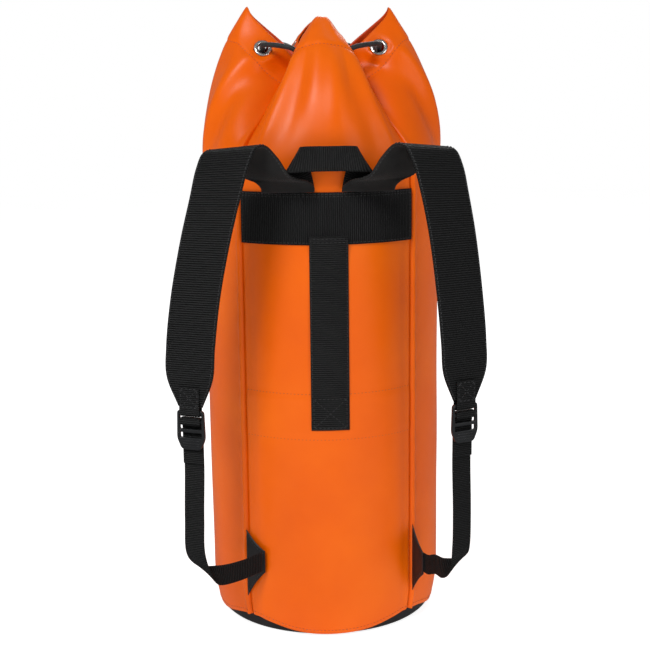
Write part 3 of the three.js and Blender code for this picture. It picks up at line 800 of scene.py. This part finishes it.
def add_wall_panel(name, node, low, high, outside, shaded_inside_material):
    """One panel of the wall: a closed sheet, finely divided beside its seams and near the mouth."""
    ends = np.array([0, 0.25, 0.5, 0.8, 1.15, 1.5, 2.0, 2.5, 3.1])
    inner_angles = np.linspace(low + 4, high - 4, int((high - low - 8) / 1.05))
    angles = np.concatenate([low + 0.05 + ends, inner_angles, high - 0.05 - ends[::-1]])
    low_shares = np.linspace(0, 1, 15)[:-1]
    heights = np.concatenate([
        np.arange(EVEN_ROWS_START, FINE_ROWS_START, 5.0),
        np.arange(FINE_ROWS_START, PANEL_HEIGHT - 1, 2.75),
        [PANEL_HEIGHT],
    ])
    start = lower_edge(angles)
    distance = np.concatenate([
        start[None, :] + (EVEN_ROWS_START - start)[None, :] * low_shares[:, None],
        np.broadcast_to(heights[:, None], (len(heights), len(angles))),
    ])
    angle = np.broadcast_to(angles[None, :], distance.shape)
    outer, outwards = surface(angle, distance)
    double = smooth(HEM_STITCH - 2, HEM_STITCH + 3, distance)
    thickness = CLOTH_THICKNESS + (HEM_THICKNESS - CLOTH_THICKNESS) * double
    rim = np.minimum(smooth(0, 2.4, PANEL_HEIGHT - distance) * 0.55 + 0.45, 1)
    middle = outer - outwards * (thickness / 2)[..., None]
    outer = middle + outwards * (thickness * rim / 2)[..., None]
    inner = middle - outwards * (thickness * rim / 2)[..., None]
    outer, cut = round_eyelets(outer, angle, distance, FLANGE_SEAT - 0.1)
    inner, _ = round_eyelets(inner, angle, distance, -FLANGE_SEAT + 0.1)
    cut_face = cut[:-1, :-1] | cut[1:, :-1] | cut[:-1, 1:] | cut[1:, 1:]
    points, faces = shell(outer, inner, ~cut_face)
    one_side = int((~cut_face).sum())
    marks = np.zeros(len(faces), int)
    marks[one_side : 2 * one_side] = 1
    uv = np.stack([np.radians(angle) * BAG_RADIUS, distance], axis=-1).reshape(-1, 2)
    cloth = mesh_object(name, points, faces, [outside, shaded_inside_material], np.concatenate([uv, uv]), marks)
    return finished(cloth, "bag", [node])


def add_wall(paint):
    back_low, back_high = BACK - SEAM_HALF_ANGLE, BACK + SEAM_HALF_ANGLE
    both = ((back_low, back_high), (back_high, back_low + 360))
    for name, (low, high) in zip(("back_panel", "wrap_panel"), both):
        add_wall_panel(f"{name}_cloth", name, low, high, paint["orange"], paint["inside"])

    def stitched(name, runs, margin, heights, count):
        rows = []
        for low, high in runs:
            from_angle, to_angle = low + margin, high - margin
            angles = np.linspace(from_angle, to_angle, count or int((to_angle - from_angle) * 3))
            rows += [surface_line(angles, height(angles)) for height in heights]
        add_stitches(name, rows, "bag", paint["orange_thread"])

    stitched("hem_stitching", both, 1.2, [lambda angles: np.full(len(angles), HEM_STITCH)], None)
    strip_edges = [lambda angles, edge=edge: np.full(len(angles), edge) for edge in (STRIP_LOW, STRIP_HIGH)]
    stitched("reinforcement_stitching", both[:1], 1.2, strip_edges, 240)
    stitched("base_stitching", both, 1.5, [lambda angles: lower_edge(angles) + 5], None)


def add_base(paint):
    """The base, turned about the bag's axis: its underside, its low wall inside and out, and its floor."""
    heights = np.linspace(3, BASE_WALL_TOP, 16)
    outer = BASE_WALL_RADIUS - base_inset(heights)
    foot = BASE_WALL_RADIUS - BASE_ROUND_DEPTH
    bottom = [(0.01, 0.0), (40, 0.0), (90, 0.0), (foot - 8, 0), (foot - 3, 0.4), (foot - 0.9, 1.4)]
    rim = [(outer[-1] - 0.9, BASE_WALL_TOP + 1)]
    inside = [(radius - 1.9, height + 0.9) for radius, height in zip(outer[::-1], heights[::-1])]
    floor = [(foot - 6.5, 2.2), (foot - 10, 1.8), (90, 1.8), (40, 1.8), (0.01, 1.8)]
    profile = bottom + list(zip(outer, heights)) + rim + inside + floor
    points, faces = lathe(profile, 180)
    base = mesh_object("base_panel_cloth", points, faces, paint["grey"])
    finished(base, "bag", ["base_floor", "base_wall"])


def on_back(angle, height, offset):
    radius = BAG_RADIUS + offset
    turn = np.radians(angle)
    return stacked(radius * np.cos(turn), radius * np.sin(turn), height)


# ---- Webbing ----
class Webbing:
    """Ribbed webbing laid along stations: [middle point, direction of its width, share of the full width]."""

    def __init__(
        self, stations, width, thickness, rib, facing=1, bow=None, relief_size=0.35, rib_side=(1, 1)
    ):
        points = np.array([
            np.concatenate([place, unit(across), share or [1.0]]) for place, across, *share in stations
        ], float)
        length = along(curve_through(points, 400))[-1]
        count = max(8, int(length / rib * 4))
        line = curve_through(points, count)
        self.middle = line[:, :3]
        self.across = unit(line[:, 3:6])
        self.front = unit(np.cross(tangents(self.middle), self.across)) * facing
        self.half = line[:, 6] * width / 2
        self.thickness = thickness
        self.rib = rib
        self.bow = bow
        self.relief_size = relief_size
        self.rib_side = rib_side
        self.distance = along(self.middle)
        self.length = self.distance[-1]

    def at(self, share, distance, face=1):
        """Points on a face, at shares of the half-width from the middle and at distances along."""
        share, distance = np.broadcast_arrays(np.asarray(share, float), np.asarray(distance, float))
        half = np.interp(distance, self.distance, self.half)
        middle, across, front = (
            read_at(distance, self.distance, values) for values in (self.middle, self.across, self.front)
        )
        front = unit(front)
        points = middle + across * (share * half)[..., None]
        rise = np.full(share.shape, face * self.thickness / 2)
        if self.bow is not None:
            rise = rise - (share * half) ** 2 / (2 * self.bow)
        return points + front * rise[..., None], front * face

    def grids(self):
        """Its front and back faces, with ribs across them and rounded edges."""
        rim = [0.9, 0.95, 0.985, 1]
        share = np.concatenate([-np.array(rim[::-1]), np.linspace(-0.82, 0.82, 9), rim])
        distance = self.distance[:, None]
        share = share[None, :]
        edge = np.clip((np.abs(share) - 0.93) / 0.07, 0, 1)
        round_edge = np.sqrt(1 - 0.85 * edge**2)
        end = np.minimum(distance, self.length - distance)
        round_end = 0.55 + 0.45 * smooth(0, 1.2, end)
        ribs = 0.5 - 0.5 * np.cos(2 * math.pi * distance / self.rib)
        ribs = ribs**0.7 * (1 - 0.8 * smooth(0.86, 0.96, np.abs(share)))
        sides = []
        for face, strength in zip((1, -1), self.rib_side):
            points, front = self.at(share, distance, face)
            height = self.thickness / 2
            wanted = height * round_edge * round_end
            wanted = wanted - self.relief_size * strength * (1 - ribs) * round_edge
            sides.append(points + front * (wanted - height)[..., None])
        return sides, share, distance

    def add(self, name, materials):
        (front, back), share, distance = self.grids()
        points, faces = shell(front, back)
        one_side = (front.shape[0] - 1) * (front.shape[1] - 1)
        marks = np.zeros(len(faces), int)
        if isinstance(materials, (list, tuple)):
            marks[one_side : 2 * one_side] = 1
        half = self.half[:, None]
        uv = stacked(distance, share * half).reshape(-1, 2)
        return mesh_object(name, points, faces, materials, np.concatenate([uv, uv]), marks)

    def stitch_line(self, share_a, distance_a, share_b, distance_b, face=1):
        """A straight row of stitches from one (share, distance) to another."""
        share, distance = share_b - share_a, distance_b - distance_a
        steps = max(3, int(abs(distance) + abs(share) * self.half.max()) + 2)
        t = np.linspace(0, 1, steps)
        return self.at(share_a + share * t, distance_a + distance * t, face)

    def box_stitch(self, low, high, share):
        """A stitched box with a cross in it."""
        corners = [(-share, low), (share, low), (share, high), (-share, high)]
        runs = [(corners[k], corners[(k + 1) % 4]) for k in range(4)]
        runs += [(corners[0], corners[2]), (corners[1], corners[3])]
        return [self.stitch_line(*first, *second) for first, second in runs]


def add_band(paint):
    angles = np.linspace(BACK - SEAM_HALF_ANGLE + 0.6, BACK + SEAM_HALF_ANGLE - 0.6, 30)
    middle = (BAND_LOW + BAND_HIGH) / 2
    stations = [(on_back(a, middle, BAND_OFFSET), (0, 0, 1)) for a in angles]
    band = Webbing(stations, BAND_HIGH - BAND_LOW, WEB, WEB_RIB)
    finished(band.add("back_band_webbing", paint["webbing"]), "bag", ["back_band"])
    rows = [band.stitch_line(share, 3, share, band.length - 3) for share in (0.93, 0.84, -0.92)]
    rows += [band.stitch_line(-0.9, at, 0.9, at) for at in (3.5, band.length - 3.5)]
    add_stitches("back_band_stitching", rows, "bag", paint["thread"])


def add_centre_webbing(paint):
    heights = [(CENTRE_WEB_LOW, 1.7), (300, 1.7), (400, 1.7), (BAND_LOW - 10, 1.7), (BAND_LOW - 3, 3.0),
               (BAND_LOW + 2, 4.3), (BAND_LOW + 10, 4.3)]
    stations = [(on_back(BACK, height, offset), (-1, 0, 0)) for height, offset in heights]
    centre = Webbing(stations, CENTRE_WEB_WIDTH, WEB, WEB_RIB, bow=BAG_RADIUS + 2)
    finished(centre.add("center_webbing_strip", paint["webbing"]), "bag", ["center_webbing"])
    top = centre.length
    rows = centre.box_stitch(3, 38, 0.86)
    rows += [centre.stitch_line(share, 40, share, top - 3) for share in (-0.92, 0.92)]
    rows += [centre.stitch_line(-0.86, top - at, 0.86, top - at) for at in (3, 7)]
    add_stitches("center_webbing_stitching", rows, "bag", paint["thread"])


def add_inner_strip(paint):
    angles = np.linspace(BACK - SEAM_HALF_ANGLE + 1, BACK + SEAM_HALF_ANGLE - 1, 60)
    heights = np.linspace(STRIP_LOW - 3, STRIP_HIGH + 3, 12)[:, None]
    outer = on_back(angles[None, :], heights, -3.6)
    inner = on_back(angles[None, :], heights, -4.9)
    points, faces = shell(outer, inner)
    strip = mesh_object("inner_reinforcement_strip_cloth", points, faces, paint["inside"])
    finished(strip, "bag", ["inner_reinforcement_strip"])


def hang_share(height):
    """How much of its outward hang a strap has at a height: none at its two sewn ends."""
    return smooth(-575, -380, -height) * smooth(84, 125, height)


def mirrored(stations, side, hang_out=0):
    return [
        (((p[0] + hang_out * hang_share(p[2])) * side, p[1], p[2]), (a[0] * side, a[1], a[2]), *s)
        for p, a, *s in stations
    ]


def add_handle(paint):
    half = [
        ((0, -165, 579), (0, 0.1, 1)),
        ((22, -164.6, 578.8), (-0.1, 0.1, 1), 1.02),
        ((35, -163.5, 578), (-0.3, 0.1, 1), 1.08),
        ((40, -160, 577), (-0.54, 0.1, 0.84), 1.19),
        ((36.5, -156.5, 571), (-0.7, 0, 0.6)),
        ((32.5, -152, 559), (-0.9, 0, 0.42)),
        ((29, -147, BAND_HIGH + 1), (-0.98, -0.05, 0.2)),
    ]
    stations = mirrored(half[1:], -1)[::-1] + half
    handle = Webbing(stations, HANDLE_WIDTH, WEB, WEB_RIB)
    finished(handle.add("grab_handle_webbing", paint["webbing"]), "handle", ["grab_handle"])


STRAP_STATIONS = [
    ((45, -151, BAND_HIGH + 1.3), (1, 0, 0)),
    ((46, -154.5, 547), (1, 0, 0)),
    ((53, -160, 554), (0.98, 0.1, 0)),
    ((69, -165, 560), (0.88, 0.4, 0)),
    ((86, -171, 578), (0.88, 0.3, -0.14)),
    ((100, -180, 592), (0.93, 0.2, -0.1)),
    ((110, -189, 590), (0.95, 0.22, -0.08)),
    ((118, -194, 573), (0.95, 0.28, -0.06)),
    ((126, -195, 540), (0.93, 0.36, -0.03)),
    ((135, -192, 495), (0.92, 0.39, 0)),
    ((144, -189, 430), (0.92, 0.39, 0)),
    ((150, -184.5, 372), (0.92, 0.39, 0)),
    ((152, -181, 336), (0.92, 0.39, 0), 0.95),
    ((152, -181, 303), (0.92, 0.39, 0), 0.5),
]
BUCKLE_BAR = np.array([152.0, -181.0, 297.0])
BUCKLE_ACROSS = unit([0.92, 0.39, 0])
BUCKLE_FRONT = unit([0.39, -0.92, 0])
LOAD_LAYER = 5.6
# Both are (towards the front, upwards) from the middle of the ladder lock's upper bar.
BUCKLE_LOOP = [(3.5, 30), (3.5, 14), (3.5, -1.4), (2.5, -3.8), (0, -4.6), (-2.5, -3.8), (-3.5, -1.4),
               (-3.5, 14), (-3.5, 30)]
ADJUSTER_WRAP = [(-3.4, -62), (-3.4, -40), (-3.4, -19), (-2.6, -16.2), (0, -15), (3.2, -14), (3.6, -11),
                 (3.2, -8), (0, -7.2), (-4.4, -7.6), (-LOAD_LAYER, -11), (-LOAD_LAYER, -30),
                 (-LOAD_LAYER, -50)]
# hang_out is how far the strap hangs out past its stations, and lap is where it lies along its tab.
SIDES = {
    "left": {
        "side": -1,
        "hang_out": 9,
        "tab_tip": (80, -128, 94),
        "adjuster_end": (82, -132.5, 96),
        "lap": [],
    },
    "right": {
        "side": 1,
        "hang_out": 0,
        "tab_tip": (112, -131, 86),
        "adjuster_end": (117, -136.5, 87),
        "lap": [(114, -131, 87), (108.4, -118.4, 87)],
    },
}


def buckle_station(front, up):
    return BUCKLE_BAR + BUCKLE_FRONT * front + np.array([0, 0, up]), tuple(BUCKLE_ACROSS)


def add_shoulder_strap(name, side, hang_out, paint):
    stations = mirrored(STRAP_STATIONS, side, hang_out)
    strap = Webbing(stations, STRAP_WIDTH, STRAP_THICKNESS, STRAP_RIB, facing=side, relief_size=0.5,
                    rib_side=(1, 0.12))
    cloth = strap.add(f"{name}_shoulder_strap_webbing", [paint["strap"], paint["lining"]])
    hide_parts(f"{name}_strap_root", f"{name}_shoulder_strap")
    # The turn is level, so the strap's hanging part lies wholly past its end.
    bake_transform(cloth)
    end = strap.length
    rows = [strap.stitch_line(share, 30, share, end - 42) for share in (-0.93, 0.93)]
    rows += [strap.stitch_line(share, 30, share, end - 42, face=-1) for share in (-0.93, 0.93)]
    rows += [strap.stitch_line(share, end - 42, share, end - 2) for share in (-0.9, 0.9)]
    add_stitches(f"{name}_shoulder_strap_stitching", rows, f"{name}_strap", paint["thread"])


def add_buckle_loop(name, side, hang_out, paint):
    stations = mirrored([buckle_station(*corner) for corner in BUCKLE_LOOP], side, hang_out)
    loop = Webbing(stations, ADJUSTER_WIDTH, THIN_WEB, FINE_RIB, facing=side)
    finished(loop.add(f"{name}_buckle_loop_webbing", paint["fine"]), f"{name}_strap",
             [f"{name}_buckle_loop"])
    rows = loop.box_stitch(2.5, 24, 0.82)
    rows += loop.box_stitch(loop.length - 24, loop.length - 2.5, 0.82)
    add_stitches(f"{name}_buckle_loop_stitching", rows, f"{name}_strap", paint["thread"])


def add_adjuster(name, side, hang_out, adjuster_end, lap, paint):
    end = np.array(adjuster_end, float)
    bend = np.array([132.0, -156.0, 90.0])
    halfway = (bend + end) / 2
    halfway[2] = 91
    stations = [buckle_station(*corner) for corner in ADJUSTER_WRAP] + [
        ((150, -174.5, 225), (0.92, 0.39, 0)),
        ((152, -170, 165), (0.92, 0.39, 0)),
        ((152, -167, 122), (0.9, 0.38, 0.05)),
        ((150, -165, 104), (0.82, 0.34, 0.4)),
        ((144, -162, 94), (0.55, 0.2, 0.8)),
        (bend, (0.15, 0.05, 1)),
        (halfway, (0, 0, 1)),
        (end, (0, 0, 1)),
    ] + [(place, (0, 0, 1)) for place in lap]
    strap = Webbing(mirrored(stations, side, hang_out), ADJUSTER_WIDTH, THIN_WEB, FINE_RIB, facing=side)
    cloth = strap.add(f"{name}_adjuster_webbing", paint["fine"])
    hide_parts(f"{name}_adjuster_wrap", f"{name}_adjuster_strap")
    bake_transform(cloth)
    rows = strap.box_stitch(strap.length - 20, strap.length - 3, 0.8)
    add_stitches(f"{name}_tab_stitching", rows, f"{name}_strap", paint["thread"])


def flat_outline(lines, depth, bevel):
    """A flat plate from closed outlines, the first solid and the rest holes, with rounded edges."""
    data = bpy.data.curves.new("outline", "CURVE")
    data.dimensions = "2D"
    data.fill_mode = "BOTH"
    for line in lines:
        spline = data.splines.new("POLY")
        spline.points.add(len(line) - 1)
        for point, (x, y) in zip(spline.points, line):
            point.co = (x, y, 0, 1)
        spline.use_cyclic_u = True
    data.extrude = depth / 2 - bevel
    data.bevel_depth = bevel
    data.bevel_resolution = 3
    data.offset = -bevel
    holder = placed("outline", data)
    mesh = bpy.data.meshes.new_from_object(holder)
    bpy.data.objects.remove(holder)
    return mesh


def rounded_outline(corners, radius, steps=5):
    """The outline through the corners, each rounded by a short curve."""
    corners = np.asarray(corners, float)
    out = []
    for k in range(len(corners)):
        before, here, after = corners[k - 1], corners[k], corners[(k + 1) % len(corners)]
        reach = min(radius, np.linalg.norm(before - here) / 2.2, np.linalg.norm(after - here) / 2.2)
        a = here + unit(before - here) * reach
        b = here + unit(after - here) * reach
        for t in np.linspace(0, 1, steps):
            out.append(a * (1 - t) ** 2 + 2 * here * t * (1 - t) + b * t**2)
    return out


def add_ladder_lock(name, side, hang_out, paint):
    half, low, lip = 17.5, -44.0, -31.0
    right = [(half - 1, 2), (half, lip), (half - 5.5, low)]
    corners = [(-half + 1, 2), *right, (-half + 5.5, low), (-half, lip)]
    outer = rounded_outline(corners, 4)
    reach = ADJUSTER_WIDTH / 2 + 1
    slots = []
    for bottom, top in ((-9, -2), (-20, -13), (-30, -24)):
        corners = [(-reach, bottom), (reach, bottom), (reach, top), (-reach, top)]
        slots.append(rounded_outline(corners, 1.2, 4))
    plate = flat_outline([outer, *slots], 4.0, 0.9)
    rotation = Matrix((
        (BUCKLE_ACROSS[0], 0, BUCKLE_FRONT[0] * side),
        (BUCKLE_ACROSS[1] * side, 0, BUCKLE_FRONT[1]),
        (0, 1, 0),
    )).to_4x4()
    place = Matrix.Translation(((BUCKLE_BAR[0] + hang_out) * side, BUCKLE_BAR[1], BUCKLE_BAR[2])) @ rotation
    parts = []
    points = np.array([place @ v.co for v in plate.vertices])
    parts.append((points, [tuple(p.vertices) for p in plate.polygons]))
    for height in (-33.5, -36.5, -39.5):
        reach = half - 6 - abs(height + 36) * 0.5
        line = np.array([place @ Vector((x, height, 2.0)) for x in np.linspace(-reach, reach, 12)])
        rod, faces, _ = tube(line, 0.75, 8)
        parts.append((rod, faces))
    bpy.data.meshes.remove(plate)
    points, faces = joined(parts)
    lock = mesh_object(f"{name}_ladder_lock_moulding", points, faces, paint["plastic"], sharp=35)
    finished(lock, f"{name}_buckle", [f"{name}_ladder_lock"])


def tab_half_height(out):
    """Half the tab's height at a share of the way from its seam to its tip."""
    straight = (TAB_HIGH - TAB_LOW) / 2 * (1 - out) + (ADJUSTER_WIDTH / 2 + 1) * out
    return straight - TAB_WAIST * np.sin(math.pi * out)


def add_tab(name, side, tab_tip, paint):
    seam = on_back(BACK + side * SEAM_HALF_ANGLE, (TAB_LOW + TAB_HIGH) / 2, TAB_THICKNESS + 0.4)
    tip = np.array([tab_tip[0] * side, tab_tip[1], tab_tip[2]], float)
    out = np.linspace(0, 1, 26)[:, None]
    up = np.linspace(-1, 1, 22)[None, :]
    half = tab_half_height(out)
    middle = seam * (1 - out[..., None]) + tip * out[..., None]
    grid = middle + stacked(0, 0, half * up)
    normal = unit(np.cross(tip - seam, [0, 0, 1])) * side
    edge = np.minimum(np.minimum(out, 1 - out) * 12, (1 - np.abs(up)) * 8)
    thickness = TAB_THICKNESS * (0.4 + 0.6 * smooth(0, 1, edge))
    stitched = 0.35 * bell((1 - np.abs(up)) * half - 4, 1.2)
    outer = grid + normal * (thickness / 2 - stitched)[..., None]
    inner = grid - normal * (thickness / 2 - stitched)[..., None]
    points, faces = shell(outer, inner)
    tab = mesh_object(f"{name}_strap_tab_cloth", points, faces, paint["grey"])
    finished(tab, "bag", [f"{name}_strap_tab"])
    t = np.linspace(0.08, 0.97, 40)
    reach = tab_half_height(t) - 4
    middle = seam * (1 - t[:, None]) + tip * t[:, None]
    rows = []
    for way in (-1, 1):
        for face in (-1, 1):
            line = middle + stacked(0, 0, reach * way) + normal * face * (TAB_THICKNESS / 2 - 0.25)
            rows.append((line, np.broadcast_to(normal * face, line.shape)))
    add_stitches(f"{name}_strap_tab_stitching", rows, "bag", paint["thread"])


def add_harness(name, paint):
    place = SIDES[name]
    side, hang_out = place["side"], place["hang_out"]
    add_shoulder_strap(name, side, hang_out, paint)
    add_buckle_loop(name, side, hang_out, paint)
    add_adjuster(name, side, hang_out, place["adjuster_end"], place["lap"], paint)
    add_ladder_lock(name, side, hang_out, paint)
    add_tab(name, side, place["tab_tip"], paint)


# ---- Mouth: eyelets, drawcord and cord lock ----
def add_eyelets(paint):
    """Each eyelet's rolled ring, and the washer it is set in, turned from their outlines."""
    hole, barrel, flange = EYELET_HOLE_RADIUS, EYELET_BARREL_RADIUS, EYELET_FLANGE_RADIUS
    seat = FLANGE_SEAT
    crown = [(flange, seat + 0.15), (flange + 0.05, seat + 0.4), (flange - 0.3, seat + 0.8),
             (flange - 1.2, seat + 1.25), (flange - 2.2, seat + 1.5), (hole + 1.3, seat + 1.45),
             (hole + 0.6, seat + 1.1), (hole + 0.15, seat + 0.5), (hole, -0.5), (hole + 0.05, -seat - 0.6),
             (hole + 0.4, -seat - 1.05), (hole + 0.9, -seat - 1.1), (barrel, -seat - 0.7), (barrel, seat),
             (flange, seat + 0.15)]
    washer = [(barrel + 0.2, -seat - 0.9), (flange - 0.6, -seat - 0.75), (flange, -seat - 0.45),
              (flange, -seat), (barrel + 0.2, -seat), (barrel + 0.2, -seat - 0.9)]
    for number, (_, middle, outwards) in enumerate(EYELETS, 1):
        kinds = (("ring", crown, f"eyelet_{number}"), ("washer", washer, f"eyelet_washer_{number}"))
        for label, profile, node in kinds:
            points, faces = lathe(profile, 48, middle, outwards)
            ring = mesh_object(f"eyelet_{number}_{label}", points, faces, paint["nickel"])
            made_outward(ring.data, EYELET_MERGE)
            finished(ring, "bag", [node])


LOCK_OUT = unit([1, 1, 0])
PLUNGER_WAY = unit([1, -1, 0])


def beside(out, aside, height):
    return LOCK_OUT * out + PLUNGER_WAY * aside + np.array([0, 0, height])


def braid(turn, distance):
    """The relief of two sets of strands that cross on a round cord."""
    strands, pitch = 8, 11.0
    lay = 2 * math.pi * distance / pitch
    first = np.cos(strands * (turn + lay / 4))
    second = np.cos(strands * (turn - lay / 4))
    return 0.16 * np.maximum(first, second) - 0.1


INNER_CORD = LOCK_DISTANCE - CORD_SPACING / 2
OUTER_CORD = LOCK_DISTANCE + CORD_SPACING / 2
BELOW_LOCK = LOCK_HEIGHT - LOCK_RADIUS - 4


def add_cord(name, points, spacing, nodes, paint):
    count = int(along(curve_through(points, 300))[-1] / spacing)
    line = curve_through(points, count)
    shape, faces, uv = tube(line, CORD_RADIUS, 24, braid)
    cord = mesh_object(name, shape, faces, paint["cord"], uv)
    return finished(cord, "bag", nodes), line


def knot_shape(end):
    """A stopper knot: the cord goes down its middle, and its end is wound round it."""
    turns, radius, coil = 3, 2.35, 4.25
    t = np.linspace(0, turns, 90)
    top, bottom = end[2] - 3.0, end[2] - 14.5
    wound = np.stack([
        end[0] + coil * np.cos(2 * math.pi * t),
        end[1] + coil * np.sin(2 * math.pi * t),
        bottom + (top - bottom) * t / turns,
    ], axis=1)
    core = stacked(end[0], end[1], np.linspace(end[2], end[2] - 17.0, 12))
    parts = []
    for line, size in ((wound, radius), (core, 2.3)):
        points, faces, _ = tube(line, size, 16, braid)
        parts.append((points, faces))
    return joined(parts)


def add_tails(paint):
    routes = {
        "left": [(INNER_CORD, 0, 533.5), (152, -3, 505), (150, -6, 470), (150.5, -7, 420),
                 (154.5, -8, TAIL_END_HEIGHT + 22)],
        "right": [(OUTER_CORD, 0, 533.5), (158, 3, 505), (153, 7, 470), (151, 9, 420),
                  (154.5, 10, TAIL_END_HEIGHT)],
    }
    for name, bends in routes.items():
        points = [beside(bends[0][0], 0, BELOW_LOCK - 0.3)] + [beside(*bend) for bend in bends]
        tail, line = add_cord(f"drawcord_tail_{name}_braid", points, 0.75, [f"drawcord_tail_{name}"], paint)
        shape, faces = knot_shape(line[-1])
        knot = mesh_object(f"tail_knot_{name}_braid", shape, faces, paint["cord"])
        finished(knot, "bag", [f"tail_knot_{name}"])


def add_drawcord(paint):
    threaded = []
    for step in range(8):
        _, middle, outwards = EYELETS[(4 + step) % 8]
        points = [middle + outwards * 9, middle, middle - outwards * 9]
        threaded += points if step % 2 == 0 else points[::-1]
    start = [beside(INNER_CORD, 0, BELOW_LOCK), beside(INNER_CORD, 0, LOCK_HEIGHT),
             beside(INNER_CORD, -1, 622), beside(148, -5, 646), beside(128, -12, 672), beside(100, -16, 696)]
    finish = [beside(106, 18, 700), beside(134, 12, 676), beside(153, 5, 650), beside(OUTER_CORD, 1, 624),
              beside(OUTER_CORD, 0, LOCK_HEIGHT), beside(OUTER_CORD, 0, BELOW_LOCK)]
    add_cord("drawcord_braid", start + threaded + finish, 0.75, ["drawcord"], paint)


def paint_node(name, material):
    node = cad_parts[name]
    node.data.materials.clear()
    node.data.materials.append(material)


def add_spring(paint):
    """The coil under the plunger, which shortens as the plunger is pressed."""
    turns = np.linspace(0, SPRING_TURNS, 30 * SPRING_TURNS)[:, None]
    angle = 2 * math.pi * turns
    low, high = BARREL_FLOOR + 1, PLUNGER_FOOT - 1
    ring = SPRING_RADIUS * (np.cos(angle) * LOCK_OUT + np.sin(angle) * np.array([0, 0, 1]))
    middle = beside(LOCK_DISTANCE, 0, LOCK_HEIGHT)
    line = middle + ring + (low + (high - low) * turns / SPRING_TURNS) * PLUNGER_WAY
    points, faces, uv = tube(line, SPRING_WIRE_RADIUS, 12)
    spring = mesh_object("cord_lock_spring_coil", points, faces, paint["steel"], uv)
    finished(spring, "cord_lock", ["cord_lock_spring"])
    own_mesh(spring)


def add_cord_lock(paint):
    paint_node("cord_lock_barrel", paint["plastic"])
    paint_node("cord_lock_plunger", paint["plastic"])
    add_spring(paint)


# ---- Stage ----
def add_floor():
    half = FLOOR_HALF
    corners = [(-half, -half, 0), (half, -half, 0), (half, half, 0), (-half, half, 0)]
    mesh = bpy.data.meshes.new("floor")
    mesh.from_pydata(corners, [], [(0, 1, 2, 3)])
    finish = Finish("floor", 0.9, Specular_IOR_Level=0.0, Emission_Color=(1, 1, 1, 1),
                    Emission_Strength=FLOOR_GLOW)
    finish.colour(finish.noise(3, 2), [(0.3, "#C8C8C8"), (0.7, "#CDCDCD")])
    mesh.materials.append(finish.material)
    floor = placed("floor", mesh)
    floor.location.z = -FLOOR_DROP
    floor.visible_glossy = False
    floor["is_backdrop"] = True


def add_world():
    """A white backdrop that gives only part of its light."""
    world = bpy.data.worlds.new("world")
    world.use_nodes = True
    nodes, links = world.node_tree.nodes, world.node_tree.links
    background = nodes["Background"]
    background.inputs["Color"].default_value = (1, 1, 1, 1)
    path = nodes.new("ShaderNodeLightPath")
    strength = nodes.new("ShaderNodeMapRange")
    strength.inputs["To Min"].default_value = AMBIENT_LIGHT
    strength.inputs["To Max"].default_value = 1.0
    links.new(path.outputs["Is Camera Ray"], strength.inputs["Value"])
    links.new(strength.outputs["Result"], background.inputs["Strength"])
    bpy.context.scene.world = world
    bpy.context.scene.view_settings.view_transform = "Standard"


def add_lights():
    for name, (place, width, power) in LIGHTS.items():
        data = bpy.data.lights.new(name, "AREA")
        data.size = width
        data.energy = power
        light = placed(name, data)
        light.location = place
        look = Vector(LIGHT_TARGET) - Vector(place)
        light.rotation_euler = look.to_track_quat("-Z", "Y").to_euler()


paint = {
    "orange": orange_tarpaulin(),
    "inside": shaded_orange_inside(),
    "grey": grey_tarpaulin(),
    "webbing": webbing_finish("black_webbing", WEB_RIB),
    "strap": webbing_finish("black_webbing_wide", STRAP_RIB),
    "fine": webbing_finish("black_webbing_fine", FINE_RIB),
    "lining": lining_finish(),
    "thread": thread_finish("black_thread", "#1B1B1C", "#2C2C2E"),
    "orange_thread": thread_finish("orange_thread", "#B8480C", "#CC5A18"),
    "plastic": plastic_finish(),
    "nickel": metal_finish("nickel", "#C9C8C6", "#DEDDDA", 0.16, 0.32),
    "steel": metal_finish("spring_steel", "#9EA0A2", "#B4B6B8", 0.25, 0.4),
    "cord": cord_finish(),
}
add_camera()
add_tails(paint)
add_drawcord(paint)
add_cord_lock(paint)
add_wall(paint)
add_base(paint)
add_band(paint)
add_centre_webbing(paint)
add_inner_strip(paint)
add_handle(paint)
add_harness("left", paint)
add_harness("right", paint)
add_eyelets(paint)
add_floor()
add_world()
add_lights()

low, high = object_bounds()
